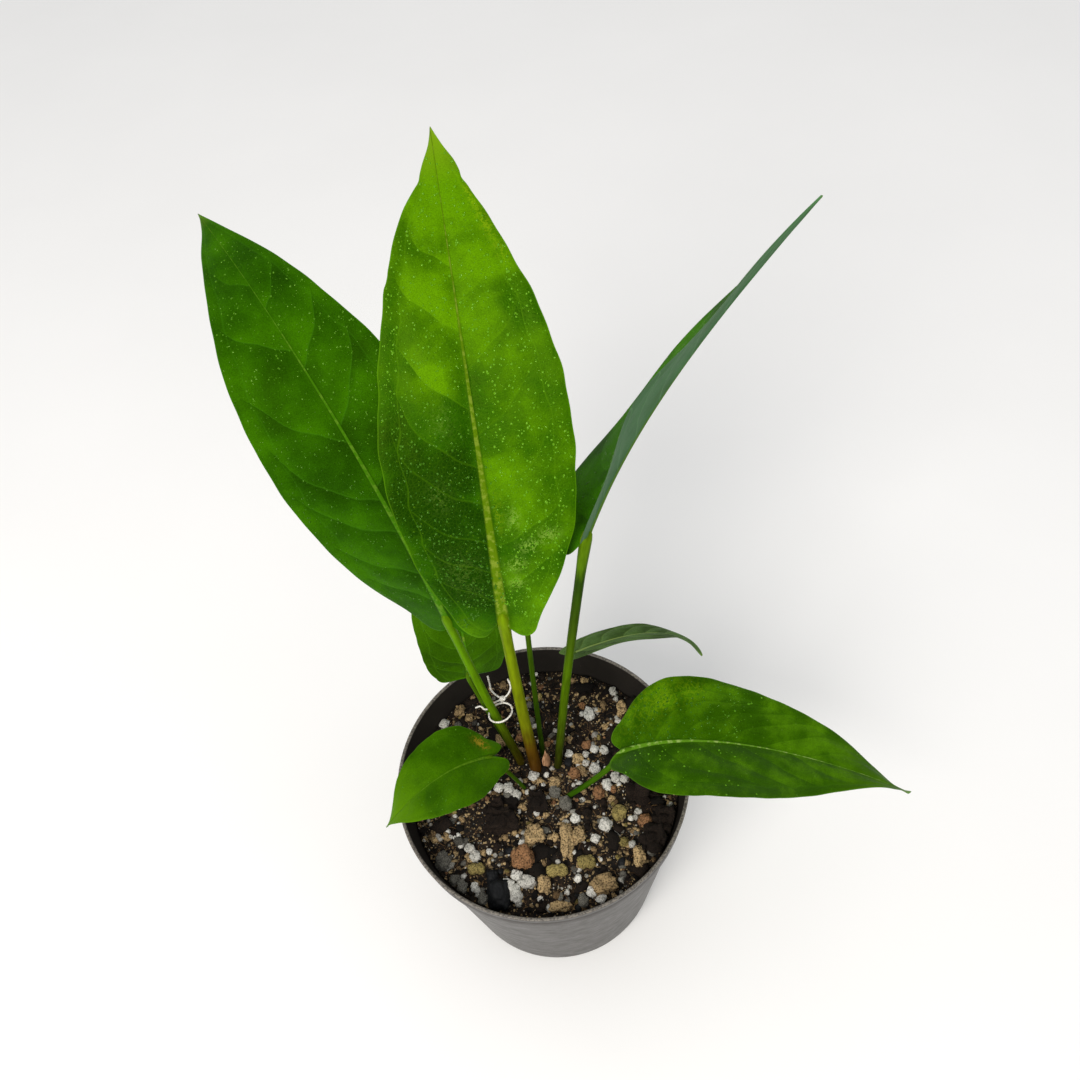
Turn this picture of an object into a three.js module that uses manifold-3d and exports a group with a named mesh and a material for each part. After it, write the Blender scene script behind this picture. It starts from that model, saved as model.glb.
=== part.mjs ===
// A potted anthurium: eight long-stalked leaves growing from a round nursery pot of coarse mix.
// Millimetres, +Z up. The origin is the centre of the pot's underside, on the surface it stands on.
import * as THREE from "three";
import { mergeVertices } from "three/addons/utils/BufferGeometryUtils.js";
import Module from "manifold-3d";

const wasm = await Module();
wasm.setup();

// Pot
const POT_HEIGHT = 100;
const RIM_RADIUS = 60;
const FOOT_RADIUS = 45.8;
const WALL = 1.3;
const RIM_BAND = 10;
const RIM_STEP = 1.2;
const FLOOR_LIFT = 2.5;
const FLOOR_THICK = 1.5;
const CENTRE_PAD_RADIUS = 15;
const FOOT_RING_WIDTH = 4.5;
const POT_SIDES = 48;
const DRAIN_HOLES = 8;
const DRAIN_HOLE_RADIUS = 4;
const DRAIN_CIRCLE_RADIUS = 30;

// Potting mix
const MIX_TOP = 88;
const MIX_DISH = 2;
const MIX_SIDES = 36;
const GRAIN_COUNT = 64;
const GRAIN_SEED = 11;

// Clearance between neighbouring pieces
const GAP = 0.3;

// Leaves
const BLADE_THICK = 0.8;
const RIB_HEIGHT = 1.1;
const STALK_SIDES = 7;
const STALK_DEPTH = 13;
const STALK_STEPS = 9;
const FOLD_FADE = 0.8;
const STALK_REACH = 0.5;
const WAVES_ALONG = 2;
const HOOK_START = 0.8;

// Margin stations of a blade, as shares of its length from the notch round the lobe to the tip,
// and the shares at which the cross lines to those stations leave the midrib.
const STATIONS = [0, -0.03, -0.055, -0.04, 0.02, 0.1, 0.2, 0.35, 0.5, 0.65, 0.8, 0.9, 0.96, 1];
const RIB_STARTS = [0, 0.008, 0.015, 0.03, 0.055, 0.1, 0.17, 0.3, 0.45, 0.6, 0.76, 0.87, 0.945, 1];

// Shares of the half width at which a blade has its lengthwise lines.
const CROSS = [0, 0.08, 0.36, 0.68, 1];

// Each leaf. Its stalk rises from foot in the mix, bowed sideways by bow, to base, where the
// blade begins. The midrib passes base, middle and tip; faces is the way the upper side looks.
// left and right are the half widths at the margin stations between notch and tip.
// fold is how many degrees each half is raised, lobe stretches the lobes beyond the notch,
// twist turns the blade from base to tip, wave and phase ripple its margin, hook bends the tip.
const LEAVES = [
  {
    name: "centre",
    foot: [-2.8, 7.6],
    bow: [-0.4, 0],
    stalkRadius: [2.6, 1.9],
    base: [-5, 18, 188.5],
    middle: [-5, 62.5, 260],
    tip: [-6, 121, 315.5],
    faces: [-0.06, -0.75, 0.66],
    left: [3, 7.5, 12.5, 18, 24, 29, 32.5, 29.5, 24, 16, 6.5, 2],
    right: [2, 6.5, 11, 15, 22.5, 29, 32, 31, 25, 15, 7.5, 3],
    fold: [8, 7],
    lobe: 0.8,
    twist: -2,
    wave: 0.9,
    phase: -80,
    hook: 0.2,
    rows: 20,
  },
  {
    name: "left",
    foot: [-9.2, 12.3],
    bow: [-0.5, 0],
    stalkRadius: [1.8, 1.7],
    base: [-27, 32, 172.5],
    middle: [-53, 66.5, 256.5],
    tip: [-89.5, 129.5, 290],
    faces: [-0.28, -0.16, 0.95],
    left: [1.5, 5, 10, 15, 22, 26.5, 30, 28.5, 23.5, 15, 8.5, 3],
    right: [2.5, 7, 11.5, 16, 21.5, 26.5, 29, 27.5, 21, 13.5, 6.5, 2.5],
    fold: [3, -4],
    lobe: 0.9,
    twist: -9,
    wave: 1.1,
    phase: -40,
    hook: 0,
    rows: 20,
  },
  {
    name: "right",
    foot: [6.6, 7.7],
    bow: [-0.8, 0],
    stalkRadius: [1.6, 1.8],
    base: [27.5, 29.5, 214],
    middle: [61.5, 69.5, 239],
    tip: [115, 93, 291],
    faces: [-0.42, 0.66, 0.63],
    left: [2.5, 6.5, 11, 15.5, 21, 26.5, 27, 24, 19.5, 13.5, 7, 3],
    right: [3, 7, 11.5, 15, 19, 24, 27, 25, 20.5, 13, 6.5, 2.5],
    fold: [23, 22],
    lobe: 0.9,
    twist: -9,
    wave: 1.1,
    phase: 0,
    hook: 0,
    rows: 20,
  },
  {
    name: "low_left",
    foot: [-12, 17],
    bow: [-0.4, 0],
    stalkRadius: [0.95, 0.95],
    base: [-24.5, 31, 130.5],
    middle: [-27, 61, 134.5],
    tip: [-35, 102, 159],
    faces: [-0.04, -0.52, 0.86],
    left: [1, 3, 5, 8, 13, 16, 19, 19.5, 17, 10.5, 5.5, 2.5],
    right: [4, 7, 10, 12, 14.5, 16.5, 18, 17.5, 14.5, 9, 4.5, 1.5],
    fold: [7, 9],
    lobe: 1.5,
    twist: -2,
    wave: 0.9,
    phase: -40,
    hook: 0,
    rows: 13,
  },
  {
    name: "front_left",
    foot: [-8.7, -0.2],
    bow: [0.2, 0.1],
    stalkRadius: [0.9, 0.8],
    base: [-19.5, 1.5, 116],
    middle: [-40.5, -7, 120.5],
    tip: [-63.5, -17.5, 105.5],
    faces: [-0.27, -0.24, 0.93],
    left: [1, 3, 7, 10.5, 13, 15.5, 17, 15.5, 12.5, 8, 3.5, 1],
    right: [1, 3.5, 6, 9, 12, 15, 16.5, 15.5, 12.5, 8, 4, 1.5],
    fold: [11, 12],
    lobe: 2.3,
    twist: -1,
    wave: 1.1,
    phase: 160,
    hook: 0,
    rows: 14,
  },
  {
    name: "front_right",
    foot: [10, -6.4],
    bow: [0.6, -0.8],
    stalkRadius: [1.1, 1.25],
    base: [34.5, -6, 121.5],
    middle: [78, -15, 131.5],
    tip: [137, -36, 118],
    faces: [0.13, 0.1, 0.98],
    left: [2, 6, 10, 14.5, 20.5, 25, 26.5, 23.5, 18, 12.5, 6, 1.5],
    right: [0.5, 4.5, 9, 13.5, 20, 24, 26, 25.5, 20, 11, 4.5, 2],
    fold: [20, 12],
    lobe: 1.1,
    twist: 4,
    wave: 1.4,
    phase: -40,
    hook: 1,
    rows: 16,
  },
  {
    name: "back_right",
    foot: [9, 15],
    bow: [0, 0],
    stalkRadius: [0.9, 0.9],
    base: [17.5, 28, 141.5],
    middle: [53, 36.5, 136],
    tip: [71, 29, 126],
    faces: [0.01, 0.64, 0.76],
    left: [1, 3, 4.5, 6.5, 9, 10, 9.5, 9, 7.5, 5, 2.5, 1],
    right: [1, 2.5, 4, 6, 8, 9, 10, 9.5, 7.5, 4.5, 2.5, 1],
    fold: [11, 8],
    lobe: 1,
    twist: 10,
    wave: 0.5,
    phase: 150,
    hook: 0,
    rows: 12,
  },
  {
    name: "back",
    foot: [0.8, 13.2],
    bow: [-0.3, 0],
    stalkRadius: [1.1, 1.1],
    base: [3, 41, 184],
    middle: [0, 77, 214],
    tip: [-4, 112, 239],
    faces: [0, -0.6, 0.8],
    left: [1, 3.5, 6.5, 10, 13.5, 16.5, 18, 17, 13.5, 8, 4, 1.5],
    right: [1, 3.5, 6.5, 10, 13.5, 16.5, 18, 17, 13.5, 8, 4, 1.5],
    fold: [10, 10],
    lobe: 1,
    twist: 0,
    wave: 0.8,
    phase: 60,
    hook: 1,
    rows: 12,
  },
];

// Papery scale leaf beside the centre stalks
const SCALE_FOOT = [1.8, 8.2];
const SCALE_HEIGHT = 12;
const SCALE_HALF_WIDTH = 1.5;
const SCALE_THICK = 0.7;
const SCALE_ROOT = 5;

// Thread tied in a loose ring round the left stalk, with a knot behind it and three short tails.
// Places are measured from the centre of the ring.
const THREAD_RADIUS = 0.4;
const THREAD_SIDES = 5;
const THREAD_HEIGHT = 119;
const RING_RADIUS = 4.7;
const RING_SHIFT = 2.3;
const KNOT_RADIUS = 1.2;
const KNOT_PLACE = [-0.8, 4.6, 0.4];
const TAILS = [
  [KNOT_PLACE, [-4.6, 4.4, 0], [-8.6, 3.2, -0.4], [-10.4, 4.4, 1.6], [-12.6, 5, 1]],
  [KNOT_PLACE, [-2.4, 5.2, 3], [-4, 6.4, 6], [-3.6, 7, 9.5]],
  [KNOT_PLACE, [1.6, 4.6, 1.6], [4.4, 5.4, 4], [5.6, 6.4, 8.6]],
];

const material = (hex, roughness) =>
  new THREE.MeshStandardMaterial({ color: hex, roughness, metalness: 0 });

const FINISH = {
  pot: material(0x6b6560, 0.55),
  mix: material(0x2e241c, 0.95),
  blade: material(0x3f8a10, 0.4),
  stalk: material(0x5f8a12, 0.45),
  scale: material(0xb98a5a, 0.8),
  thread: material(0xe8e6df, 0.9),
};

// A closed geometry as a solid that can be cut and joined.
function toSolid(geometry) {
  const bare = new THREE.BufferGeometry();
  bare.setAttribute("position", geometry.getAttribute("position"));
  if (geometry.index) bare.setIndex(geometry.index);
  const merged = mergeVertices(bare, 1e-4);
  return new wasm.Manifold(
    new wasm.Mesh({
      numProp: 3,
      vertProperties: merged.attributes.position.array,
      triVerts: new Uint32Array(merged.index.array),
    }),
  );
}

// The largest body of a solid, back as a geometry.
function toGeometry(solid) {
  const bodies = solid.decompose();
  bodies.sort((a, b) => b.volume() - a.volume());
  const mesh = bodies[0].getMesh();
  const geometry = new THREE.BufferGeometry();
  geometry.setAttribute("position", new THREE.BufferAttribute(mesh.vertProperties, 3));
  geometry.setIndex(new THREE.BufferAttribute(mesh.triVerts, 1));
  geometry.computeVertexNormals();
  return geometry;
}

// A lathe turned about +Z from [radius, height] pairs.
function turned(pairs, sides) {
  const points = pairs.map(([r, z]) => new THREE.Vector2(r, z));
  return new THREE.LatheGeometry(points, sides).rotateX(Math.PI / 2);
}

// A small repeatable random generator, so that every run places the grains alike.
function seeded(seed) {
  let state = seed >>> 0;
  return () => {
    state = (Math.imul(state, 1664525) + 1013904223) >>> 0;
    return state / 4294967296;
  };
}

// Smooth value at share t of a list, as a uniform Catmull-Rom curve through its entries.
function smoothAt(list, t) {
  const place = Math.min(Math.max(t, 0), 1) * (list.length - 1);
  const i = Math.min(Math.floor(place), list.length - 2);
  const f = place - i;
  const p = [i - 1, i, i + 1, i + 2].map((k) => list[Math.min(Math.max(k, 0), list.length - 1)]);
  const v0 = (p[2] - p[0]) / 2;
  const v1 = (p[3] - p[1]) / 2;
  const cubic = 2 * p[1] - 2 * p[2] + v0 + v1;
  const square = -3 * p[1] + 3 * p[2] - 2 * v0 - v1;
  return cubic * f ** 3 + square * f ** 2 + v0 * f + p[1];
}

// Pot: thin wall, stepped rim band, foot ring, raised floor with a centre pad and drain holes.
function makePot() {
  const bandFoot = POT_HEIGHT - RIM_BAND;
  const wallTop = RIM_RADIUS - 1 - RIM_STEP;
  const floorTop = FLOOR_LIFT + FLOOR_THICK;
  const ringInner = FOOT_RADIUS - FOOT_RING_WIDTH;
  const shell = turned(
    [
      [0, 0],
      [CENTRE_PAD_RADIUS, 0],
      [CENTRE_PAD_RADIUS + 1.5, FLOOR_LIFT],
      [ringInner - 1, FLOOR_LIFT],
      [ringInner, 0],
      [FOOT_RADIUS, 0],
      [wallTop, bandFoot - 0.8],
      [RIM_RADIUS - 1, bandFoot],
      [RIM_RADIUS - 0.3, POT_HEIGHT - 1.2],
      [RIM_RADIUS, POT_HEIGHT - 0.4],
      [RIM_RADIUS - 0.5, POT_HEIGHT],
      [RIM_RADIUS - 1.4, POT_HEIGHT],
      [RIM_RADIUS - 1 - WALL, bandFoot + 1],
      [wallTop - WALL, bandFoot - 1],
      [FOOT_RADIUS - WALL + 0.5, floorTop],
      [CENTRE_PAD_RADIUS + 1, floorTop],
      [CENTRE_PAD_RADIUS - 0.5, FLOOR_THICK],
      [0, FLOOR_THICK],
    ],
    POT_SIDES,
  );
  let pot = toSolid(shell);
  for (let i = 0; i < DRAIN_HOLES; i += 1) {
    const angle = ((i + 0.5) / DRAIN_HOLES) * 2 * Math.PI;
    const drill = new THREE.CylinderGeometry(DRAIN_HOLE_RADIUS, DRAIN_HOLE_RADIUS, 8, 12);
    drill.rotateX(Math.PI / 2);
    drill.translate(
      DRAIN_CIRCLE_RADIUS * Math.cos(angle),
      DRAIN_CIRCLE_RADIUS * Math.sin(angle),
      floorTop,
    );
    pot = pot.subtract(toSolid(drill));
  }
  return pot;
}

// Inner radius of the pot wall at a height.
function potInside(z) {
  const low = FLOOR_LIFT + FLOOR_THICK;
  const high = POT_HEIGHT - RIM_BAND - 1;
  const share = (z - low) / (high - low);
  const foot = FOOT_RADIUS - WALL + 0.5;
  return foot + share * (RIM_RADIUS - 1 - RIM_STEP - WALL - foot);
}

// Height of the mix at a distance from the pot's axis: a low mound round the plant.
const mixHeight = (radius) => MIX_TOP - MIX_DISH * (radius / RIM_RADIUS) ** 2;

// One grain of the mix: a lump, or a longer flake of bark.
function makeGrain(random, reach) {
  const isFlake = random() < 0.3;
  const size = 2 + 2.4 * random() ** 2;
  const lump = new THREE.IcosahedronGeometry(size, 0);
  if (isFlake) lump.scale(0.8, 1.9, 0.7);
  else lump.scale(1, 0.8 + 0.4 * random(), 0.8);
  lump.rotateX(random() * 0.8 - 0.4);
  lump.rotateZ(random() * 2 * Math.PI);
  const radius = reach * Math.sqrt(random());
  const angle = random() * 2 * Math.PI;
  lump.translate(
    radius * Math.cos(angle),
    radius * Math.sin(angle),
    mixHeight(radius) + 0.1 * size,
  );
  return toSolid(lump);
}

// Mix: a mass that fills the pot, its top covered in fused grains, with a hole for each stalk.
function makeMix(fittings) {
  const low = FLOOR_LIFT + FLOOR_THICK + GAP;
  const edge = potInside(MIX_TOP - MIX_DISH) - 1;
  const rings = [1, 0.75, 0.5, 0.25].map((s) => [edge * s, mixHeight(edge * s)]);
  const body = turned(
    [
      [0, low],
      [potInside(low) - 1, low],
      ...rings,
      [0, MIX_TOP],
    ],
    MIX_SIDES,
  );
  const random = seeded(GRAIN_SEED);
  const grains = Array.from({ length: GRAIN_COUNT }, () => makeGrain(random, edge - 5));
  let mix = wasm.Manifold.union([toSolid(body), ...grains]);
  for (const fitting of fittings) mix = mix.subtract(fitting);
  return mix;
}

const vector = (list) => new THREE.Vector3(...list);

// The midrib of a leaf: a curve through its base, middle and tip.
function midribOf(leaf) {
  const [base, middle, tip] = [leaf.base, leaf.middle, leaf.tip].map(vector);
  const handle = middle.clone().multiplyScalar(2).addScaledVector(base, -0.5).addScaledVector(tip, -0.5);
  return new THREE.QuadraticBezierCurve3(base, handle, tip);
}

// A point of a blade's middle surface. along runs from the notch round the lobe to the tip,
// across from the left margin (-1) to the right margin (+1), seen from above with the tip up.
function bladePoint(leaf, midrib, along, across) {
  const side = across < 0 ? 0 : 1;
  const share = Math.abs(across);
  const widths = side === 0 ? leaf.left : leaf.right;
  const station = smoothAt(STATIONS, along);
  const reach = station < 0 ? station * leaf.lobe : station;
  const start = smoothAt(RIB_STARTS, along);
  const a = start + (reach - start) * share ** 1.4;
  const b = Math.max(smoothAt([0, ...widths, 0], along), 0) * share;
  const held = Math.min(Math.max(a, 0), 1);
  const tangent = midrib.getTangent(held);
  const point = midrib.getPoint(held);
  point.addScaledVector(tangent, Math.min(a, 0) * midrib.getLength());
  const faces = vector(leaf.faces);
  const normal = faces.addScaledVector(tangent, -faces.dot(tangent)).normalize();
  normal.applyAxisAngle(tangent, -THREE.MathUtils.degToRad(leaf.twist) * (held - 0.5));
  const toRight = new THREE.Vector3().crossVectors(tangent, normal);
  const fold = THREE.MathUtils.degToRad(leaf.fold[side]) * (1 - FOLD_FADE * held);
  const turn = 2 * Math.PI * WAVES_ALONG * reach + THREE.MathUtils.degToRad(leaf.phase + 150 * side);
  const hooked = Math.max((a - HOOK_START) / (1 - HOOK_START), 0) ** 2;
  const lift = b * Math.sin(fold) + leaf.wave * share ** 2 * Math.sin(turn) - leaf.hook * hooked;
  return point
    .addScaledVector(toRight, Math.sign(across) * b * Math.cos(fold))
    .addScaledVector(normal, lift);
}

// A blade as a thin closed solid: the same triangles above and below, joined round the margin,
// thicker along the midrib. It starts and ends in one point.
function makeBlade(leaf) {
  const midrib = midribOf(leaf);
  const lines = [...CROSS.slice(1).map((s) => -s).reverse(), ...CROSS];
  const columns = lines.length;
  const rows = leaf.rows + 1;
  const step = 1e-3;
  const positions = [];
  for (const face of [1, -1]) {
    for (let i = 0; i < rows; i += 1) {
      const along = i / leaf.rows;
      const inside = Math.min(Math.max(along, 0.02), 0.98);
      const isEnd = i === 0 || i === leaf.rows;
      for (const line of lines) {
        const across = isEnd ? 0 : line;
        const held = Math.min(Math.max(across, -1 + step), 1 - step);
        const at = (a, b) => bladePoint(leaf, midrib, a, b);
        const du = at(inside + step, held).sub(at(inside - step, held));
        const dv = at(inside, held + step).sub(at(inside, held - step));
        const out = dv.cross(du).normalize();
        const rib = across === 0 ? RIB_HEIGHT * (1 - along) * Math.min(leaf.rows / 20, 1) : 0;
        const half = BLADE_THICK / 2 + (face < 0 ? rib : 0.4 * rib);
        positions.push(...at(along, across).addScaledVector(out, face * half).toArray());
      }
    }
  }
  const size = rows * columns;
  const top = (i, j) => i * columns + j;
  const index = [];
  for (let i = 0; i < leaf.rows; i += 1) {
    for (let j = 0; j < columns - 1; j += 1) {
      const corners = [top(i, j), top(i, j + 1), top(i + 1, j + 1), top(i + 1, j)];
      const firstHalf = j < (columns - 1) / 2;
      const order = firstHalf ? [0, 1, 3, 1, 2, 3] : [0, 1, 2, 0, 2, 3];
      index.push(...order.map((k) => corners[k]));
      index.push(...order.map((k) => corners[k] + size).reverse());
    }
  }
  const rim = [];
  for (let i = 0; i < rows; i += 1) rim.push(i * columns + columns - 1);
  for (let j = columns - 2; j >= 0; j -= 1) rim.push(leaf.rows * columns + j);
  for (let i = leaf.rows - 1; i >= 0; i -= 1) rim.push(i * columns);
  for (let j = 1; j < columns - 1; j += 1) rim.push(j);
  rim.forEach((a, k) => {
    const b = rim[(k + 1) % rim.length];
    index.push(a, a + size, b, b, a + size, b + size);
  });
  const blade = new THREE.BufferGeometry();
  blade.setAttribute("position", new THREE.Float32BufferAttribute(positions, 3));
  blade.setIndex(index);
  return toSolid(blade);
}

// The line of a leaf's stalk, from its foot in the mix to the notch and a little into the midrib.
function stalkLine(leaf) {
  const base = vector(leaf.base);
  const foot = new THREE.Vector3(...leaf.foot, MIX_TOP);
  const rise = base.clone().sub(foot);
  const bow = new THREE.Vector3(...leaf.bow, 0);
  const low = foot.clone().addScaledVector(rise, 0.33).add(bow);
  const high = foot.clone().addScaledVector(rise, 0.7).add(bow);
  const first = low.clone().sub(foot).normalize();
  const buried = foot.clone().addScaledVector(first, -STALK_DEPTH);
  const beyond = base.clone().addScaledVector(midribOf(leaf).getTangent(0), 3);
  const points = [buried, foot, low, high, base, beyond];
  return new THREE.CatmullRomCurve3(points, false, "centripetal");
}

// A round rod along a line, radiusAt giving its radius at each share of the length.
function makeRod(line, sides, steps, radiusAt, longer = 0) {
  const rod = new THREE.CylinderGeometry(1, 1, 1, sides, steps);
  const position = rod.getAttribute("position");
  const reference = new THREE.Vector3(0.8, -0.6, 0.1);
  for (let i = 0; i < position.count; i += 1) {
    const share = position.getY(i) + 0.5;
    const tangent = line.getTangentAt(share);
    const across = reference.clone().addScaledVector(tangent, -reference.dot(tangent)).normalize();
    const other = new THREE.Vector3().crossVectors(across, tangent);
    const point = line
      .getPointAt(share)
      .addScaledVector(tangent, share === 0 ? -longer : 0)
      .addScaledVector(across, radiusAt(share) * position.getX(i))
      .addScaledVector(other, radiusAt(share) * position.getZ(i));
    position.setXYZ(i, point.x, point.y, point.z);
  }
  return toSolid(rod);
}

// Stalk: a tapering rod with a slight swelling under the blade, cut off where the blade begins.
// grow makes it that much fatter and longer.
function makeStalk(leaf, grow = 0) {
  const [thick, thin] = leaf.stalkRadius;
  const swelling = (share) => 1 + 0.18 * Math.exp(-(((share - 0.95) / 0.06) ** 2));
  const radiusAt = (share) => (thick + (thin - thick) * share) * swelling(share) + grow;
  const rod = makeRod(stalkLine(leaf), STALK_SIDES, STALK_STEPS, radiusAt, grow);
  const back = midribOf(leaf).getTangent(0).negate();
  const cut = back.dot(vector(leaf.base)) - STALK_REACH - grow;
  return rod.trimByPlane(back.toArray(), cut);
}

// Scale leaf: a thin pointed shield standing against the stalks beside it.
function makeScale(grow = 0) {
  const shield = new THREE.Shape();
  const [w, h, root] = [SCALE_HALF_WIDTH + grow, SCALE_HEIGHT + grow, SCALE_ROOT + grow];
  shield.moveTo(-0.7 * w, -root);
  shield.lineTo(0.7 * w, -root);
  shield.quadraticCurveTo(1.3 * w, 0.5 * h, 0, h);
  shield.quadraticCurveTo(-1.3 * w, 0.5 * h, -0.7 * w, -root);
  const depth = SCALE_THICK + 2 * grow;
  const plate = new THREE.ExtrudeGeometry(shield, { depth, bevelEnabled: false, curveSegments: 6 });
  plate.translate(0, 0, -depth / 2).rotateX(Math.PI / 2).rotateZ(0.5);
  plate.translate(SCALE_FOOT[0], SCALE_FOOT[1], MIX_TOP);
  return toSolid(plate);
}

// Thread: a ring, a knot and tails, fused into one.
function makeThread(leaf) {
  const line = stalkLine(leaf);
  const steps = line.getSpacedPoints(200);
  const nearest = steps.reduce((a, b) =>
    Math.abs(a.z - THREAD_HEIGHT) < Math.abs(b.z - THREAD_HEIGHT) ? a : b,
  );
  const up = vector(leaf.base).sub(new THREE.Vector3(...leaf.foot, MIX_TOP)).normalize();
  const centre = nearest.clone().add(new THREE.Vector3(RING_SHIFT, 0, 0));
  const level = new THREE.Quaternion().setFromUnitVectors(new THREE.Vector3(0, 0, 1), up);
  const place = (list) => vector(list).applyQuaternion(level).add(centre);
  const circle = Array.from({ length: 12 }, (_, i) => {
    const angle = (i / 12) * 2 * Math.PI;
    return place([RING_RADIUS * Math.cos(angle), RING_RADIUS * Math.sin(angle), 0]);
  });
  const loop = new THREE.CatmullRomCurve3(circle, true);
  const ring = new THREE.TubeGeometry(loop, 20, THREAD_RADIUS, THREAD_SIDES, true);
  const knot = new THREE.IcosahedronGeometry(KNOT_RADIUS, 0);
  knot.translate(...place(KNOT_PLACE).toArray());
  const tails = TAILS.map((tail) =>
    makeRod(new THREE.CatmullRomCurve3(tail.map(place)), THREAD_SIDES, 8, () => THREAD_RADIUS),
  );
  return wasm.Manifold.union([toSolid(ring), toSolid(knot), ...tails]);
}

const plant = new THREE.Group();

function addMesh(name, geometry, finish) {
  const mesh = new THREE.Mesh(geometry, finish);
  mesh.name = name;
  plant.add(mesh);
}

const holes = [];
for (const leaf of LEAVES) {
  const blade = makeBlade(leaf).subtract(makeStalk(leaf, GAP));
  addMesh(`blade_${leaf.name}`, toGeometry(blade), FINISH.blade);
  addMesh(`stalk_${leaf.name}`, toGeometry(makeStalk(leaf)), FINISH.stalk);
  holes.push(makeStalk(leaf, GAP));
}
addMesh("scale_leaf", toGeometry(makeScale()), FINISH.scale);
holes.push(makeScale(GAP));
addMesh("thread_tie", toGeometry(makeThread(LEAVES.find((leaf) => leaf.name === "left"))), FINISH.thread);
addMesh("potting_mix", toGeometry(makeMix(holes)), FINISH.mix);
addMesh("pot", toGeometry(makePot()), FINISH.pot);

export default plant;
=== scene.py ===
"""A potted anthurium with eight leaves, dressed for the camera.

Sizes are millimetres, as in the solids, and become metres where a mesh is made.
"""
import logging
import math
from dataclasses import dataclass, replace
from enum import Enum
from typing import Any, Callable

import bmesh
import bpy
import numpy as np
from mathutils import Matrix, Vector, noise


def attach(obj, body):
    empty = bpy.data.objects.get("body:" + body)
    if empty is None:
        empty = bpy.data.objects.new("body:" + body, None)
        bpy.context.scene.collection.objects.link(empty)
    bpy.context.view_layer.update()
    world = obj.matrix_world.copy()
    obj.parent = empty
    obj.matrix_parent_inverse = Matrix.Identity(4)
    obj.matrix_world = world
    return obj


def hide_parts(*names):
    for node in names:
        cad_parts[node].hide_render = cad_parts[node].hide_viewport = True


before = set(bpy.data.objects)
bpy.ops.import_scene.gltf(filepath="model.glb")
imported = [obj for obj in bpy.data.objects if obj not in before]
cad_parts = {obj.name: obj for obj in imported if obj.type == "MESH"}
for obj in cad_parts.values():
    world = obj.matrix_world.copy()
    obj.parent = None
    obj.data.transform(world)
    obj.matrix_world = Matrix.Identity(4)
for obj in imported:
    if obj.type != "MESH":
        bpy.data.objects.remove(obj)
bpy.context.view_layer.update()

LOG = logging.getLogger("anthurium")
MM = 0.001
ONE_METRE = 1000.0
FULL_TURN = 2 * math.pi
Array = np.ndarray
Point = tuple[float, float, float]
Colours = tuple[tuple[float, str], ...]
Source = bpy.types.NodeSocket | float | str | tuple

# Shared by the pot, the mix and the stalks
POT_HEIGHT = 100.0
RIM_RADIUS = 60.0
FOOT_RADIUS = 45.8
MIX_TOP = 88.0
MIX_DISH = 2.0
MIX_EDGE = 55.6
STALK_DEPTH = 13.0

# Margin stations of a blade and the places on the midrib that they are drawn from,
# as shares of its length from the notch to the tip.
STATIONS = (0, -0.03, -0.055, -0.04, 0.02, 0.1, 0.2, 0.35, 0.5, 0.65, 0.8, 0.9, 0.96, 1)
RIB_STARTS = (0, 0.008, 0.015, 0.03, 0.055, 0.1, 0.17, 0.3, 0.45, 0.6, 0.76, 0.87, 0.945, 1)
LOBE_END = 3
FOLD_FADE = 0.8
WAVES_ALONG = 2
HOOK_START = 0.8
COLLECTIVE = 0.79


def linear(colour: str) -> tuple[float, float, float, float]:
    """Turn an sRGB hex colour into linear light."""
    channels = [int(colour[i : i + 2], 16) / 255 for i in (1, 3, 5)]
    light = [c / 12.92 if c <= 0.04045 else ((c + 0.055) / 1.055) ** 2.4 for c in channels]
    return (*light, 1.0)


def to_mesh(name: str, shape: bmesh.types.BMesh) -> bpy.types.Mesh:
    """Turn a shape into a mesh and free it."""
    mesh = bpy.data.meshes.new(name)
    shape.to_mesh(mesh)
    shape.free()
    return mesh


def add_object(name: str, data: bpy.types.ID, place: Matrix | None = None) -> bpy.types.Object:
    """Put an object into the scene."""
    item = bpy.data.objects.new(name, data)
    if place is not None:
        item.matrix_world = place
    bpy.context.scene.collection.objects.link(item)
    return item


def wrap_grid(rows: int, columns: int, place: Callable[[Array, Array], Array]) -> bmesh.types.BMesh:
    """Bend a flat grid into a closed skin, its grid places kept as a UV map.

    Args:
        rows: Steps along u.
        columns: Steps along v.
        place: Gives a point in millimetres for each u and v between 0 and 1.

    Returns:
        The skin, with seams and poles merged and faces outwards.
    """
    skin = bmesh.new()
    skin.loops.layers.uv.new("grid")
    bmesh.ops.create_grid(skin, x_segments=rows, y_segments=columns, size=0.5, calc_uvs=True)
    flat = np.array([vert.co[:] for vert in skin.verts])
    u = np.round((flat[:, 0] + 0.5) * rows) / rows
    v = np.round((flat[:, 1] + 0.5) * columns) / columns
    for vert, point in zip(skin.verts, place(u, v) * MM):
        vert.co = point
    bmesh.ops.remove_doubles(skin, verts=skin.verts, dist=2e-6)
    bmesh.ops.recalc_face_normals(skin, faces=skin.faces)
    return skin


def two_sided(v: Array) -> tuple[Array, Array]:
    """Lay shares of the way round a thin sheet over its two sides.

    Args:
        v: Shares of the way round.

    Returns:
        Places from edge to edge, -1 to 1, and the side: 1 above, -1 below and 0 on the edges.
    """
    above = v <= 0.5
    face = np.where((v == 0) | (v == 0.5) | (v == 1), 0.0, np.where(above, 1.0, -1.0))
    return np.where(above, 4 * v - 1, 3 - 4 * v), face


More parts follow.
